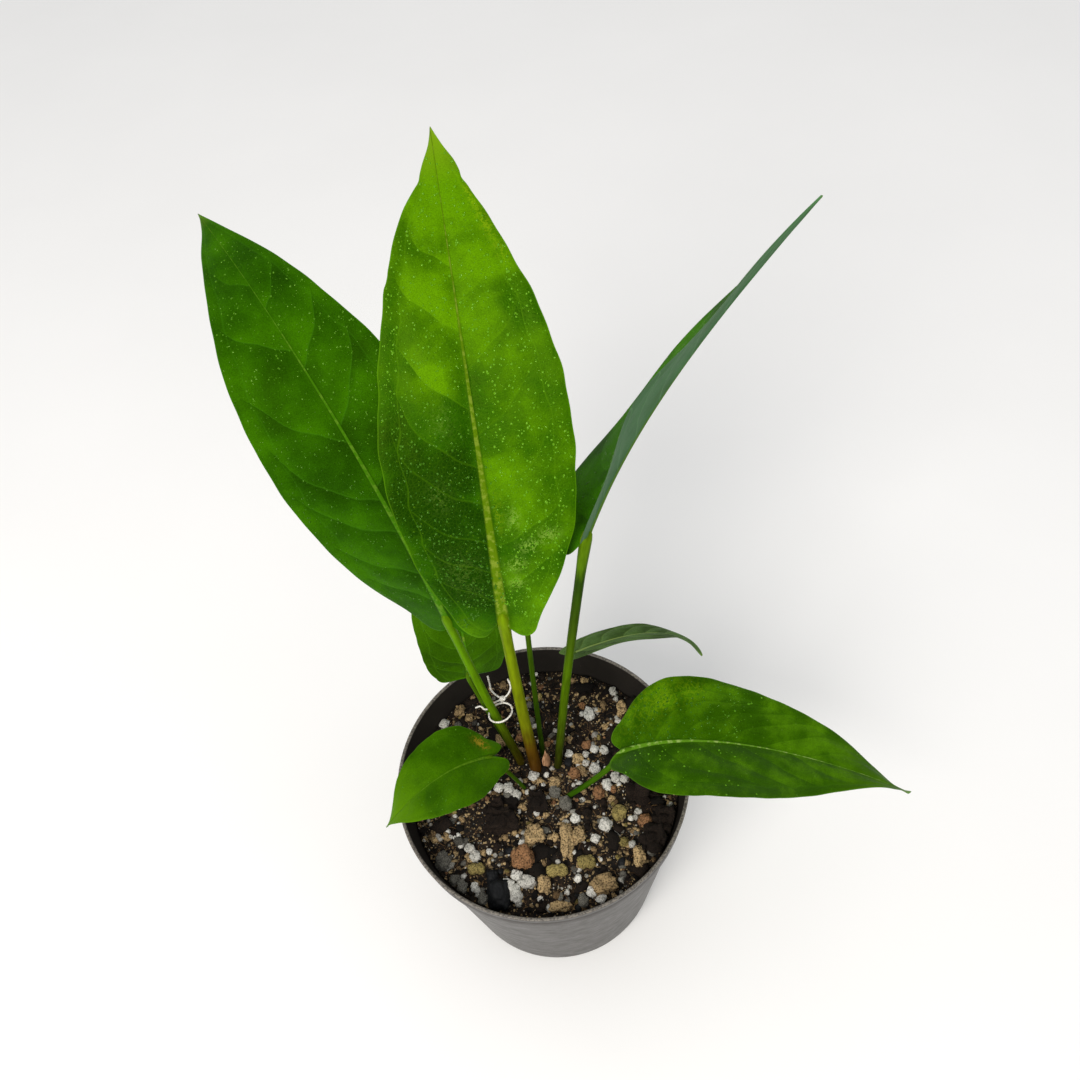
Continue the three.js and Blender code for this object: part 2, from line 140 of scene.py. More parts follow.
def turn_outline(outline: list[tuple[float, float]], steps: int) -> bmesh.types.BMesh:
    """Turn an outline of radii and heights in millimetres about the pot's axis."""
    shape = bmesh.new()
    verts = [shape.verts.new((radius * MM, 0.0, height * MM)) for radius, height in outline]
    edges = [shape.edges.new(pair) for pair in zip(verts, verts[1:])]
    axis = {"cent": (0, 0, 0), "axis": (0, 0, 1), "angle": FULL_TURN}
    bmesh.ops.spin(shape, geom=verts + edges, steps=steps, use_merge=True, **axis)
    bmesh.ops.remove_doubles(shape, verts=shape.verts, dist=1e-6)
    bmesh.ops.recalc_face_normals(shape, faces=shape.faces)
    return shape


def make_piece(
    name: str,
    shape: bmesh.types.BMesh,
    materials: list[bpy.types.Material],
    stands_for: tuple[str, ...] = (),
) -> bpy.types.Object:
    """Turn a mesh into a named smooth piece that rides on the plant.

    Args:
        name: Name of the piece.
        shape: Mesh in metres, freed here.
        materials: Its finishes, in the order of the faces' indices.
        stands_for: Solids that it hides.

    Returns:
        The new object.
    """
    mesh = to_mesh(name, shape)
    for material in materials:
        mesh.materials.append(material)
    mesh.polygons.foreach_set("use_smooth", [True] * len(mesh.polygons))
    piece = add_object(name, mesh)
    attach(piece, "root")
    if stands_for:
        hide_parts(*stands_for)
    return piece


def smooth_at(values: tuple[float, ...] | list[float], t: Array) -> Array:
    """Read a list at shares t along a uniform Catmull-Rom curve."""
    table = np.asarray(values, float)
    last = len(table) - 1
    place = np.clip(t, 0, 1) * last
    i = np.minimum(place.astype(int), last - 1)
    f = place - i
    p0, p1, p2, p3 = (table[np.clip(i + k, 0, last)] for k in (-1, 0, 1, 2))
    v0 = (p2 - p0) / 2
    v1 = (p3 - p1) / 2
    return (2 * p1 - 2 * p2 + v0 + v1) * f**3 + (-3 * p1 + 3 * p2 - 2 * v0 - v1) * f**2 + v0 * f + p1


def ease(low: float, high: float, value: Array) -> Array:
    """Rise smoothly from 0 at low to 1 at high."""
    t = np.clip((value - low) / (high - low), 0, 1)
    return t * t * (3 - 2 * t)


def unit(rows: Array) -> Array:
    """Scale each row to length one."""
    return rows / np.maximum(np.linalg.norm(rows, axis=-1, keepdims=True), 1e-12)


def length_of(samples: Array) -> float:
    """Length of a line through points."""
    return float(np.linalg.norm(np.diff(samples, axis=0), axis=1).sum())


def curve_through(points: Array, closed: bool = False, detail: int = 24) -> Array:
    """Follow a centripetal Catmull-Rom curve through points.

    Args:
        points: Points in order.
        closed: Whether the curve returns to its first point.
        detail: Samples for each stretch between two points.

    Returns:
        Dense samples along the curve.
    """
    if closed:
        track = np.vstack([points[-1], points, points[:2]])
    else:
        track = np.vstack([2 * points[0] - points[1], points, 2 * points[-1] - points[-2]])
    samples = []
    f = np.linspace(0, 1, detail, endpoint=False)[:, None]
    for p0, p1, p2, p3 in zip(track, track[1:], track[2:], track[3:]):
        d0, d1, d2 = (math.sqrt(np.linalg.norm(b - a)) for a, b in ((p0, p1), (p1, p2), (p2, p3)))
        t1 = ((p1 - p0) / d0 - (p2 - p0) / (d0 + d1) + (p2 - p1) / d1) * d1
        t2 = ((p2 - p1) / d1 - (p3 - p1) / (d1 + d2) + (p3 - p2) / d2) * d1
        square = 3 * p2 - 3 * p1 - 2 * t1 - t2
        cube = 2 * p1 - 2 * p2 + t1 + t2
        samples.append(p1 + t1 * f + square * f**2 + cube * f**3)
    samples.append(track[-2][None, :])
    return np.vstack(samples)


def spaced(samples: Array, share: Array) -> tuple[Array, Array]:
    """Read a sampled curve at shares of its length.

    Args:
        samples: Dense points along the curve.
        share: Shares of the length, from 0 to 1.

    Returns:
        The points there and the curve's directions.
    """
    steps = np.linalg.norm(np.diff(samples, axis=0), axis=1)
    length = np.concatenate([[0], np.cumsum(steps)])
    at = np.clip(share, 0, 1) * length[-1]
    reach = 0.004 * length[-1]
    stops = [at, *(np.clip(at + d, 0, length[-1]) for d in (reach, -reach))]
    points, ahead, behind = (
        np.stack([np.interp(stop, length, samples[:, k]) for k in range(3)], axis=1) for stop in stops
    )
    return points, unit(ahead - behind)


def circle_about(along: Array, turn: Array) -> Array:
    """Point at an angle on a circle of radius one about each direction."""
    reference = np.array([0.8, -0.6, 0.1])
    across = unit(reference - along * (along @ reference)[:, None])
    other = np.cross(across, along)
    return across * np.cos(turn)[:, None] + other * np.sin(turn)[:, None]


def tube(samples: Array, rows: int, sides: int, radius: Callable[[Array], Array]) -> bmesh.types.BMesh:
    """Wrap a round skin about a sampled curve, closed at both ends.

    Args:
        samples: Dense points along the curve, in millimetres.
        rows: Steps along the curve.
        sides: Steps round it.
        radius: Radius for each share of the length.

    Returns:
        The closed tube.
    """

    def place(u: Array, v: Array) -> Array:
        points, along = spaced(samples, u)
        reach = np.where((u == 0) | (u == 1), 0, radius(u))[:, None]
        return points + reach * circle_about(along, 2 * np.pi * v)

    return wrap_grid(rows, sides, place)


def mix_height(radius: Array | float) -> Array | float:
    """Height of the mix at a distance from the pot's axis."""
    return MIX_TOP - MIX_DISH * (radius / RIM_RADIUS) ** 2


class Surface:
    """A material being made: its one shader and the nodes that feed it."""

    def __init__(self, name: str, **constants: float | str) -> None:
        """Start the material.

        Args:
            name: Name of the finish.
            constants: Values of the shader's own sockets, underscores standing for spaces.
        """
        self.material = bpy.data.materials.new(name)
        self.material.use_nodes = True
        self.tree = self.material.node_tree
        self.tree.nodes.clear()
        own = {socket.replace("_", " "): value for socket, value in constants.items()}
        self.shader = self.node("BsdfPrincipled", own)
        self.node("OutputMaterial", {"Surface": self.shader.outputs[0]})
        self.here = self.node("TexCoord").outputs["Object"]

    def node(self, kind: str, inputs: dict | None = None, **settings: Any) -> bpy.types.Node:
        """Add a shader node.

        Args:
            kind: Node type without its ShaderNode prefix.
            inputs: Value or source socket for each input, by name or number. A hex string is a colour.
            settings: Node properties.

        Returns:
            The new node.
        """
        node = self.tree.nodes.new("ShaderNode" + kind)
        for name, value in settings.items():
            setattr(node, name, value)
        for key, value in (inputs or {}).items():
            if isinstance(value, bpy.types.NodeSocket):
                self.tree.links.new(value, node.inputs[key])
            else:
                node.inputs[key].default_value = linear(value) if isinstance(value, str) else value
        return node

    def math(self, operation: str, *values: Source, use_clamp: bool = False) -> Source:
        """Combine numbers and sockets by one operation."""
        inputs = dict(enumerate(values))
        return self.node("Math", inputs, operation=operation, use_clamp=use_clamp).outputs[0]

    def span(
        self, value: Source, low: float, high: float, start: float = 0.0, end: float = 1.0
    ) -> Source:
        """Carry a value between low and high over to one between start and end, held there."""
        return self.node("MapRange", {0: value, 1: low, 2: high, 3: start, 4: end}).outputs[0]

    def mix(self, factor: Source, first: Source, second: Source, blend: str = "MIX") -> Source:
        """Blend two colours by a factor."""
        inputs = {0: factor, 6: first, 7: second}
        return self.node("Mix", inputs, data_type="RGBA", blend_type=blend).outputs[2]

    def ramp(self, value: Source, *stops: tuple[float, str]) -> Source:
        """Turn a value into a colour by a ramp through its stops, each a place and a hex colour."""
        node = self.node("ValToRGB", {0: value})
        elements = node.color_ramp.elements
        while len(elements) < len(stops):
            elements.new(1.0)
        for element, (place, colour) in zip(elements, stops):
            element.position = place
            element.color = linear(colour)
        return node.outputs[0]

    def split(self, source: Source) -> list[Source]:
        """Take a vector or colour apart."""
        return list(self.node("SeparateXYZ", {0: source}).outputs)

    def uv(self, name: str) -> list[Source]:
        """The two values of one of the mesh's maps."""
        return self.split(self.node("UVMap", uv_map=name).outputs[0])[:2]

    def tone(self) -> Source:
        """The shade that each scattered copy carries."""
        return self.node("Attribute", attribute_name="tone").outputs["Fac"]

    def stretched(self, source: Source, scale: Point, turn: Point = (0.0, 0.0, 0.0)) -> Source:
        """Turn and scale a place."""
        return self.node("Mapping", {0: source, 2: turn, 3: scale}).outputs[0]

    def noise(
        self, size_mm: float, detail: float, rough: float = 0.5, place: Source | None = None
    ) -> Source:
        """Cloudy noise with features of a size, read at a place or else at the object's own."""
        inputs = {"Vector": self.here if place is None else place, "Scale": 1 / (size_mm * MM)}
        return self.node("TexNoise", {**inputs, "Detail": detail, "Roughness": rough}).outputs[0]

    def dots(self, size_mm: float, bare: float, largest: float) -> Source:
        """Depth inside round dots, above 0 within a dot.

        Args:
            size_mm: Distance between places for a dot.
            bare: Share of the places without one.
            largest: Radius of the largest dot, as a share of that distance.
        """
        cells = self.node("TexVoronoi", {"Vector": self.here, "Scale": 1 / (size_mm * MM)})
        radius = self.span(self.split(cells.outputs["Color"])[0], bare, 1.0, 0.0, largest)
        return self.math("SUBTRACT", radius, cells.outputs["Distance"])

    def finish(
        self,
        colour: Source,
        roughness: Source | None = None,
        bump: tuple[Source, float, float] | None = None,
    ) -> bpy.types.Material:
        """Feed the shader.

        Args:
            colour: Its base colour.
            roughness: Its roughness, where that varies.
            bump: Height, strength and depth in millimetres of its bump.

        Returns:
            The finished material.
        """
        sources = {"Base Color": colour, "Roughness": roughness}
        if bump:
            height, strength, depth = bump
            inputs = {"Strength": strength, "Distance": depth * MM, "Height": height}
            sources["Normal"] = self.node("Bump", inputs).outputs[0]
        for name, source in sources.items():
            if source is not None:
                self.tree.links.new(source, self.shader.inputs[name])
        return self.material


@dataclass(frozen=True)
class LeafFinish:
    """Living leaf: a waxy green skin, leathery and slightly glossy, paler below and along the veins.

    The skin is glossier than matt paper but far from wet, so its roughness sits near 0.4. Its colour
    also carries painted light and shade over the panels between the veins, in soft spots and beside
    the midrib, and painted highlights on the midrib, the margin, tiny droplets and wet streaks.
    """

    name: str = "leaf_skin"
    deep: str = "#0a2e00"
    shaded: str = "#1e4a00"
    middle: str = "#305900"
    bright: str = "#4e7d00"
    rib: str = "#4f6c05"
    vein: str = "#4c7a08"
    margin: str = "#5a8a10"
    tip: str = "#5d7414"
    blemish: str = "#86a010"
    painted_glint: str = "#8c9a3a"
    painted_sheen: str = "#84a840"
    below_deep: str = "#31541e"
    below: str = "#456733"
    below_vein: str = "#5f7c3c"
    roughness: float = 0.42
    shine: float = 0.2
    patch_mm: float = 16.0
    cell_mm: float = 1.3
    grain_mm: float = 0.35
    fleck_mm: float = 2.2
    # Strength of the painted light and shade over the panels between the side veins.
    shade: float = 0.22
    vein_strength: float = 0.4
    mist_mm: float = 1.5
    mist_share: float = 0.55
    mist_strength: float = 0.3
    tip_from: float = 150.0
    tip_to: float = 165.0

    def upper(self) -> bpy.types.Material:
        """Build the finish of the upper side."""
        skin = Surface(
            self.name + "_upper", IOR=1.42, Specular_IOR_Level=self.shine, Specular_Tint="#c4ff40"
        )
        along, wet = skin.uv("blade")
        count, per_count = skin.uv("veins")
        from_collective, from_edge = skin.uv("lines")
        from_rib, shown = skin.uv("ribs")
        painted_shading_and_yellow, yellow = skin.uv("painted_shading_and_yellow")
        patches = skin.noise(self.patch_mm, 4.0, 0.55)
        flecks = skin.noise(self.fleck_mm, 4.0, 0.65)
        cell_size = {"Vector": skin.here, "Scale": 1 / (self.cell_mm * MM)}
        cells = skin.node("TexVoronoi", cell_size, feature="DISTANCE_TO_EDGE").outputs[0]

        # Painted light and shade over each panel: lighter just tipward of a side vein, darker just before
        # the next.
        slope = skin.math("SUBTRACT", 0.5, skin.math("FRACT", count))
        painted_panel_shading = skin.math("MULTIPLY", skin.math("MULTIPLY", slope, shown), self.shade)
        # Painted light and shade of spots and panels join the random patches; shade runs to deep, light to
        # bright.
        tone = skin.math("ADD", skin.math("ADD", patches, painted_panel_shading), painted_shading_and_yellow)
        shades = (self.deep, self.shaded, self.middle, self.bright)
        body = skin.ramp(tone, *zip((0.15, 0.36, 0.5, 0.72), shades))
        specks = skin.span(skin.noise(self.grain_mm, 2.0), 0.35, 0.65, 0.8, 1.2)
        body = skin.mix(1.0, body, specks, "MULTIPLY")
        body = skin.mix(skin.span(cells, 0.0, 0.12, 0.1, 0.0), body, self.vein)

        from_lateral = skin.math("MULTIPLY", skin.math("PINGPONG", count, 0.5), per_count)
        lateral = skin.math("MULTIPLY", skin.span(from_lateral, 0.5, 1.5, 1.0, 0.0), shown)
        collective = skin.span(skin.math("ABSOLUTE", from_collective), 0.5, 1.5, 0.6, 0.0)
        fine = skin.math("MULTIPLY", skin.math("MAXIMUM", lateral, collective), self.vein_strength)
        body = skin.mix(fine, body, self.vein)
        # Painted highlight: a paler line along the margin.
        body = skin.mix(skin.span(from_edge, 0.5, 1.2, 0.35, 0.0), body, self.margin)
        body = skin.mix(skin.span(along, self.tip_from, self.tip_to, 0.0, 0.9), body, self.tip)

        ridge = skin.math("ABSOLUTE", skin.math("SUBTRACT", flecks, 0.5))
        crinkle = skin.span(ridge, 0.015, 0.055, 1.0, 0.0)
        # Yellow blemishes are the leaf's own; the wet map paints a pale sheen as highlights on the
        # crinkles.
        for strength, colour in ((yellow, self.blemish), (wet, self.painted_sheen)):
            body = skin.mix(skin.math("MULTIPLY", strength, crinkle, use_clamp=True), body, colour)

        middle = skin.math("ABSOLUTE", from_rib)
        # Painted shade: a darker band along both sides of the midrib.
        body = skin.mix(skin.span(middle, 1.1, 2.2, 0.45, 0.0), body, self.deep)
        thins = skin.span(along, 20.0, 110.0, 1.0, 0.65)
        rib = skin.math("MULTIPLY", skin.span(middle, 0.75, 1.25, 1.0, 0.0), thins)
        # Painted highlights: paler dashes along the midrib.
        painted_rib_glints = skin.span(flecks, 0.48, 0.6, 0.0, 0.45)
        body = skin.mix(rib, body, skin.mix(painted_rib_glints, self.rib, self.painted_glint))

        # Tiny droplets painted as paler dots for the light that they catch; their bump and gloss are real.
        mist = skin.span(skin.dots(self.mist_mm, 1 - self.mist_share, 0.3), 0.0, 0.12)
        body = skin.mix(skin.math("MULTIPLY", mist, self.mist_strength), body, self.margin)
        wax = skin.span(patches, 0.3, 0.7, self.roughness - 0.06, self.roughness + 0.1)
        gloss = skin.math("MULTIPLY", wax, skin.span(mist, 0.0, 0.5, 1.0, 0.3))
        dips = skin.math("SUBTRACT", skin.span(cells, 0.0, 0.25, 0.0, 0.35), fine)
        return skin.finish(body, gloss, (skin.math("ADD", dips, mist), 0.6, 0.14))

    def under(self) -> bpy.types.Material:
        """Build the finish of the underside, matt and greyer with pale raised veins."""
        skin = Surface(self.name + "_under", IOR=1.42, Roughness=0.62, Specular_IOR_Level=0.15)
        count, per_count = skin.uv("veins")
        patches = skin.noise(9.0, 5.0)
        body = skin.ramp(patches, (0.3, self.below_deep), (0.46, self.below), (0.75, self.below_vein))
        body = skin.mix(0.6, body, self.below)
        from_lateral = skin.math("MULTIPLY", skin.math("PINGPONG", count, 0.5), per_count)
        lateral = skin.span(from_lateral, 0.6, 1.8, 0.8, 0.0)
        collective = skin.span(skin.math("ABSOLUTE", skin.uv("lines")[0]), 0.6, 1.6, 0.6, 0.0)
        fine = skin.math("MAXIMUM", lateral, collective)
        body = skin.mix(fine, body, self.below_vein)
        middle = skin.math("ABSOLUTE", skin.uv("ribs")[0])
        body = skin.mix(skin.span(middle, 0.8, 1.3, 1.0, 0.0), body, self.rib)
        height = skin.math("ADD", skin.noise(0.5, 3.0), fine)
        return skin.finish(body, bump=(height, 0.4, 0.15))


@dataclass(frozen=True)
class StalkFinish:
    """Living leaf stalk: firm smooth skin with a satin shine, streaked along its length."""

    name: str
    stops: Colours
    length_mm: float
    streak_mm: float = 9.0
    streaks_round: float = 9.0

    def build(self) -> bpy.types.Material:
        """Build the finish, its colours following the share of the stalk's length."""
        skin = Surface(
            self.name, IOR=1.42, Roughness=0.42, Specular_IOR_Level=0.07, Specular_Tint="#e0ff90"
        )
        grid = skin.node("UVMap", uv_map="grid").outputs[0]
        along = skin.stretched(grid, (self.length_mm / self.streak_mm, self.streaks_round, 1.0))
        streaks = skin.noise(ONE_METRE, 4.0, place=along)
        wobble = skin.span(streaks, 0.3, 0.7, -0.02, 0.02)
        body = skin.ramp(skin.math("ADD", skin.split(grid)[0], wobble), *self.stops)
        body = skin.mix(1.0, body, skin.span(streaks, 0.3, 0.7, 0.72, 1.2), "MULTIPLY")
        return skin.finish(body, bump=(skin.noise(0.6, 2.0), 0.3, 0.1))


@dataclass(frozen=True)
class PlasticFinish:
    """Injection-moulded polypropylene: satin grey with a faint flow grain, scuffs and dried splashes."""

    name: str
    body: str
    worn: str
    splash_and_highlight: str
    roughness: float
    shine: float = 0.4
    rubbed_and_highlit_edges: tuple[float, ...] = ()

    def build(self) -> bpy.types.Material:
        """Build the finish."""
        skin = Surface(self.name, IOR=1.49, Specular_IOR_Level=self.shine)
        flow = skin.noise(7.0, 6.0, 0.7, skin.stretched(skin.here, (1.0, 1.0, 1.8)))
        scratch = skin.noise(1.6, 2.0, place=skin.stretched(skin.here, (0.25, 3.0, 3.0), (0.5, 0.3, 0.4)))
        dust = skin.noise(0.7, 3.0)
        cloudy = skin.math("ADD", skin.noise(22.0, 5.0), flow)
        colour = skin.mix(skin.span(cloudy, 0.8, 1.25, 0.0, 0.28), self.body, self.worn)
        colour = skin.mix(skin.span(scratch, 0.68, 0.74, 0.0, 0.15), colour, self.worn)
        colour = skin.mix(skin.span(dust, 0.66, 0.78, 0.0, 0.5), colour, self.splash_and_highlight)
        height = skin.split(skin.here)[2]
        rubbed_and_highlit = skin.span(dust, 0.4, 0.55, 0.1, 0.8)
        # Painted highlights, partly wear: paler broken lines along the lip and the rim steps.
        for edge in self.rubbed_and_highlit_edges:
            line = skin.math("COMPARE", height, edge * MM, 0.25 * MM)
            colour = skin.mix(skin.math("MULTIPLY", line, rubbed_and_highlit), colour, self.splash_and_highlight)
        sheen = skin.span(flow, 0.3, 0.7, self.roughness - 0.08, self.roughness + 0.12)
        return skin.finish(colour, sheen, (dust, 0.25, 0.08))


@dataclass(frozen=True)
class GrainFinish:
    """Grains of one kind in the mix: each grain has its own tone between two colours, with pits."""

    name: str
    dark: str
    light: str
    pit: str
    pit_mm: float = 0.7
    pit_share: float = 0.4
    roughness: float = 0.9

    def build(self) -> bpy.types.Material:
        """Build the finish, each grain's tone read from its attribute."""
        skin = Surface(self.name, IOR=1.45, Roughness=self.roughness, Specular_IOR_Level=0.25)
        pits = skin.noise(self.pit_mm, 3.0, 0.65)
        hole = skin.span(pits, self.pit_share - 0.08, self.pit_share + 0.05, 0.85, 0.0)
        body = skin.mix(hole, skin.mix(skin.tone(), self.dark, self.light), self.pit)
        return skin.finish(body, bump=(pits, 0.9, 0.45))


@dataclass(frozen=True)
class PeatFinish:
    """Damp peat and coir: nearly black crumbs, browner where they have dried."""

    name: str = "damp_peat"
    wet: str = "#0b0907"
    damp: str = "#21180f"
    dry: str = "#4a3726"
    speck: str = "#8a6c48"
    pale: str = "#a9a190"
    crumb_mm: float = 1.6

    def build(self) -> bpy.types.Material:
        """Build the finish."""
        skin = Surface(self.name, IOR=1.45, Roughness=0.88, Specular_IOR_Level=0.3)
        crumbs = skin.noise(self.crumb_mm, 5.0, 0.7)
        body = skin.ramp(crumbs, (0.4, self.wet), (0.58, self.damp), (0.72, self.dry))
        for size, bare, colour in ((0.55, 0.74, self.speck), (0.9, 0.86, self.pale)):
            shown = skin.span(skin.dots(size, bare, 0.5), 0.0, 0.12, 0.0, 0.9)
            body = skin.mix(shown, body, colour)
        return skin.finish(body, bump=(crumbs, 0.9, 0.6))


@dataclass(frozen=True)
class CottonFinish:
    """Twisted cotton: soft white fibres, matt, with a little sheen and grey painted shade in patches."""

    name: str = "cotton_thread"
    light: str = "#f0ede6"
    shade: str = "#b9b3a6"
    lay_mm: float = 0.9

    def build(self) -> bpy.types.Material:
        """Build the finish."""
        skin = Surface(self.name, IOR=1.5, Roughness=0.95, Sheen_Weight=0.3)
        fibres = skin.noise(self.lay_mm, 4.0)
        body = skin.ramp(fibres, (0.35, self.shade), (0.55, self.light))
        return skin.finish(body, bump=(fibres, 0.5, 0.1))


@dataclass(frozen=True)
class PaperFinish:
    """Dry scale leaf: thin papery tissue, pinkish tan with darker lengthwise fibres."""

    name: str = "dry_scale"
    light: str = "#d2a27a"
    dark: str = "#7c5233"
    fibre_mm: float = 0.5

    def build(self) -> bpy.types.Material:
        """Build the finish."""
        skin = Surface(self.name, IOR=1.45, Roughness=0.75)
        fibres = skin.noise(self.fibre_mm, 4.0, place=skin.stretched(skin.here, (1.0, 1.0, 0.12)))
        body = skin.ramp(fibres, (0.35, self.dark), (0.62, self.light))
        return skin.finish(body, bump=(fibres, 0.5, 0.15))


@dataclass(frozen=True)
class WaterFinish:
    """Clear water in small beads: index 1.33, partly clear, their green painted lighter where the leaf is
    lit.
    """

    name: str = "clear_water"
    shaded_bead_green: str = "#3f7416"
    lit_bead_green: str = "#6dab1c"
    shine: float = 0.35

    def build(self) -> bpy.types.Material:
        """Build the finish."""
        skin = Surface(
            self.name,
            IOR=1.33,
            Transmission_Weight=0.35,
            Specular_IOR_Level=self.shine,
            Specular_Tint="#e6ffae",
        )
        # Painted light and shade: each bead's tone blends the shaded and the lit green.
        body = skin.mix(skin.tone(), self.shaded_bead_green, self.lit_bead_green)
        return skin.finish(body, skin.span(skin.noise(0.8, 1.0), 0.3, 0.7, 0.01, 0.08))


@dataclass(frozen=True)
class FloorFinish:
    """Matt painted board: pale and even with a very faint mottle."""

    name: str = "painted_board"
    light: str = "#f2f2f2"
    shade: str = "#ececec"

    def build(self) -> bpy.types.Material:
        """Build the finish."""
        skin = Surface(self.name, Roughness=0.9, Specular_IOR_Level=0.1)
        return skin.finish(skin.mix(skin.noise(ONE_METRE / 6, 3.0), self.light, self.shade))


@dataclass(frozen=True)
class Spot:
    """A soft patch of a blade, placed by shares of its length and half width.

    It ends at the midrib unless it lies on it. tone paints light onto it when above 0 and shade
    when below, yellow turns it yellow, quilt puffs up its panels and wet paints a pale streaky sheen.
    """

    a: float
    across: float
    reach: float
    spread: float
    tone: float = 0.0
    yellow: float = 0.0
    quilt: float = 0.0
    wet: float = 0.0


@dataclass(frozen=True)
class Nick:
    """A small step of the margin: its half, its share of the length, its size in mm and its spread."""

    side: int
    a: float
    out: float
    spread: float


@dataclass(frozen=True)
class Droplets:
    """Water droplets on one upper side: how many, how large, how much painted light and which half holds
    most.
    """

    count: int
    seed: int
    smallest: float = 0.16
    largest: float = 0.62
    left_share: float = 0.55
    first: float = -0.02
    last: float = 0.85
    bias: float = 1.0
    painted_light: float = 0.35
    crowding: float = 3.2
    height: float = 0.6
    fine_from: float = 0.26


@dataclass
class Leaf:
    """One leaf, blade and stalk, with its sizes as in the solid.

    The stalk rises from foot to base, bowed by bow. The midrib passes base, middle and tip.
    left and right are half widths at the margin stations. fold, twist, wave, phase and hook
    shape the blade, and lobe stretches its two lobes beyond the notch. show tells how clearly
    the side veins and the painted shade of their panels stand out on the left and the right half.
    """

    name: str
    foot: tuple[float, float]
    stalk_radius: tuple[float, float]
    base: Point
    middle: Point
    tip: Point
    faces: Point
    left: tuple[float, ...]
    right: tuple[float, ...]
    fold: tuple[float, float]
    wave: float
    phase: float
    laterals: tuple[tuple[float, ...], tuple[float, ...]]
    finish: LeafFinish
    bow: tuple[float, float] = (0, 0)
    lobe: float = 1.0
    twist: float = 0.0
    hook: float = 0.0
    climb: float = 0.13
    rib_half: float = 1.6
    rib_end: float = 0.2
    rib_up: float = 0.5
    rib_down: float = 1.0
    quilt: float = 0.6
    grid: tuple[int, int] = (150, 88)
    stalk_colours: Colours = ((0.0, "#2c3408"), (0.2, "#2e4a06"), (1.0, "#446408"))
    droplets: Droplets | None = None
    thick: float = 0.42
    lateral_mm: float = 0.28
    spots: tuple[Spot, ...] = ()
    nicks: tuple[Nick, ...] = ()
    ripple: float = 0.08
    show: tuple[float, float] = (0.8, 0.8)

    def __post_init__(self) -> None:
        """Sample the midrib once."""
        base, middle, tip = (np.array(p, float) for p in (self.base, self.middle, self.tip))
        self.bezier = (base, 2 * middle - 0.5 * base - 0.5 * tip, tip)
        self.length = length_of(self.rib_point(np.linspace(0, 1, 201)))

    def rib_point(self, held: Array) -> Array:
        """Point of the midrib at each share."""
        base, handle, tip = self.bezier
        u = held[:, None]
        return (1 - u) ** 2 * base + 2 * u * (1 - u) * handle + u * u * tip

    def rib_direction(self, held: Array) -> Array:
        """Direction of the midrib at each share."""
        base, handle, tip = self.bezier
        u = held[:, None]
        return unit(2 * (1 - u) * (handle - base) + 2 * u * (tip - handle))

    def reach(self, along: Array) -> Array:
        """Share of the length that the margin reaches at each station, with the lobe stretched."""
        station = smooth_at(STATIONS, along)
        return np.where(station < 0, station * self.lobe, station)

    def places(self, along: Array, across: Array) -> tuple[Array, Array]:
        """Share of the length and distance from the midrib of points of the blade.

        Args:
            along: Shares from the notch round the lobe to the tip.
            across: From the left margin at -1 to the right margin at 1.

        Returns:
            The share of the length and the unsigned distance in millimetres.
        """
        share = np.abs(across)
        reach = self.reach(along)
        start = smooth_at(RIB_STARTS, along)
        a = start + (reach - start) * share**1.4
        widths = [smooth_at([0, *half, 0], along) for half in (self.left, self.right)]
        width = np.where(across < 0, widths[0], widths[1])
        turn = np.where(across < 0, 0.7, 2.9) + self.phase
        uneven = np.sin(44 * reach + turn) + 0.7 * np.sin(79 * reach - 1.7 * turn)
        width = width + self.ripple * uneven * np.clip(width / 12, 0, 1)
        for nick in self.nicks:
            bump = nick.out * np.exp(-(((reach - nick.a) / nick.spread) ** 2))
            width = width + np.where((across < 0) == (nick.side < 0), bump, 0)
        return a, np.maximum(width, 0) * share

    def spotted(self, a: Array, across: Array, effect: str) -> Array:
        """Add up one effect of the soft patches."""
        total = np.zeros_like(a)
        for spot in self.spots:
            away = ((a - spot.a) / spot.reach) ** 2 + ((across - spot.across) / spot.spread) ** 2
            held = (across * spot.across >= 0) | (abs(spot.across) < 0.1)
            total = total + getattr(spot, effect) * np.exp(-away) * held
        return total

    def surface(self, along: Array, across: Array) -> Array:
        """Point of the blade's middle surface, the same form as the solid's."""
        side = (across >= 0).astype(int)
        a, b = self.places(along, across)
        held = np.clip(a, 0, 1)
        tangent = self.rib_direction(held)
        point = self.rib_point(held) + tangent * (np.minimum(a, 0) * self.length)[:, None]
        faces = np.array(self.faces)
        normal = unit(faces - tangent * (tangent @ faces)[:, None])
        turned = -np.radians(self.twist) * (held - 0.5)
        right = np.cross(tangent, normal)
        normal = normal * np.cos(turned)[:, None] + right * np.sin(turned)[:, None]
        right = np.cross(tangent, normal)
        fold = np.radians(np.array(self.fold))[side] * (1 - FOLD_FADE * held)
        turn = 2 * np.pi * WAVES_ALONG * self.reach(along) + np.radians(self.phase + 150 * side)
        hooked = np.maximum((a - HOOK_START) / (1 - HOOK_START), 0) ** 2
        lift = b * np.sin(fold) + self.wave * np.abs(across) ** 2 * np.sin(turn) - self.hook * hooked
        out = (np.sign(across) * b * np.cos(fold))[:, None]
        return point + right * out + normal * lift[:, None]

    def facing(self, along: Array, across: Array) -> Array:
        """Direction that the upper side looks at each point."""
        step = 1e-3
        inside = np.clip(along, 0.02, 0.98)
        held = np.clip(across, step - 1, 1 - step)
        du = self.surface(inside + step, held) - self.surface(inside - step, held)
        dv = self.surface(inside, held + step) - self.surface(inside, held - step)
        return unit(np.cross(dv, du))

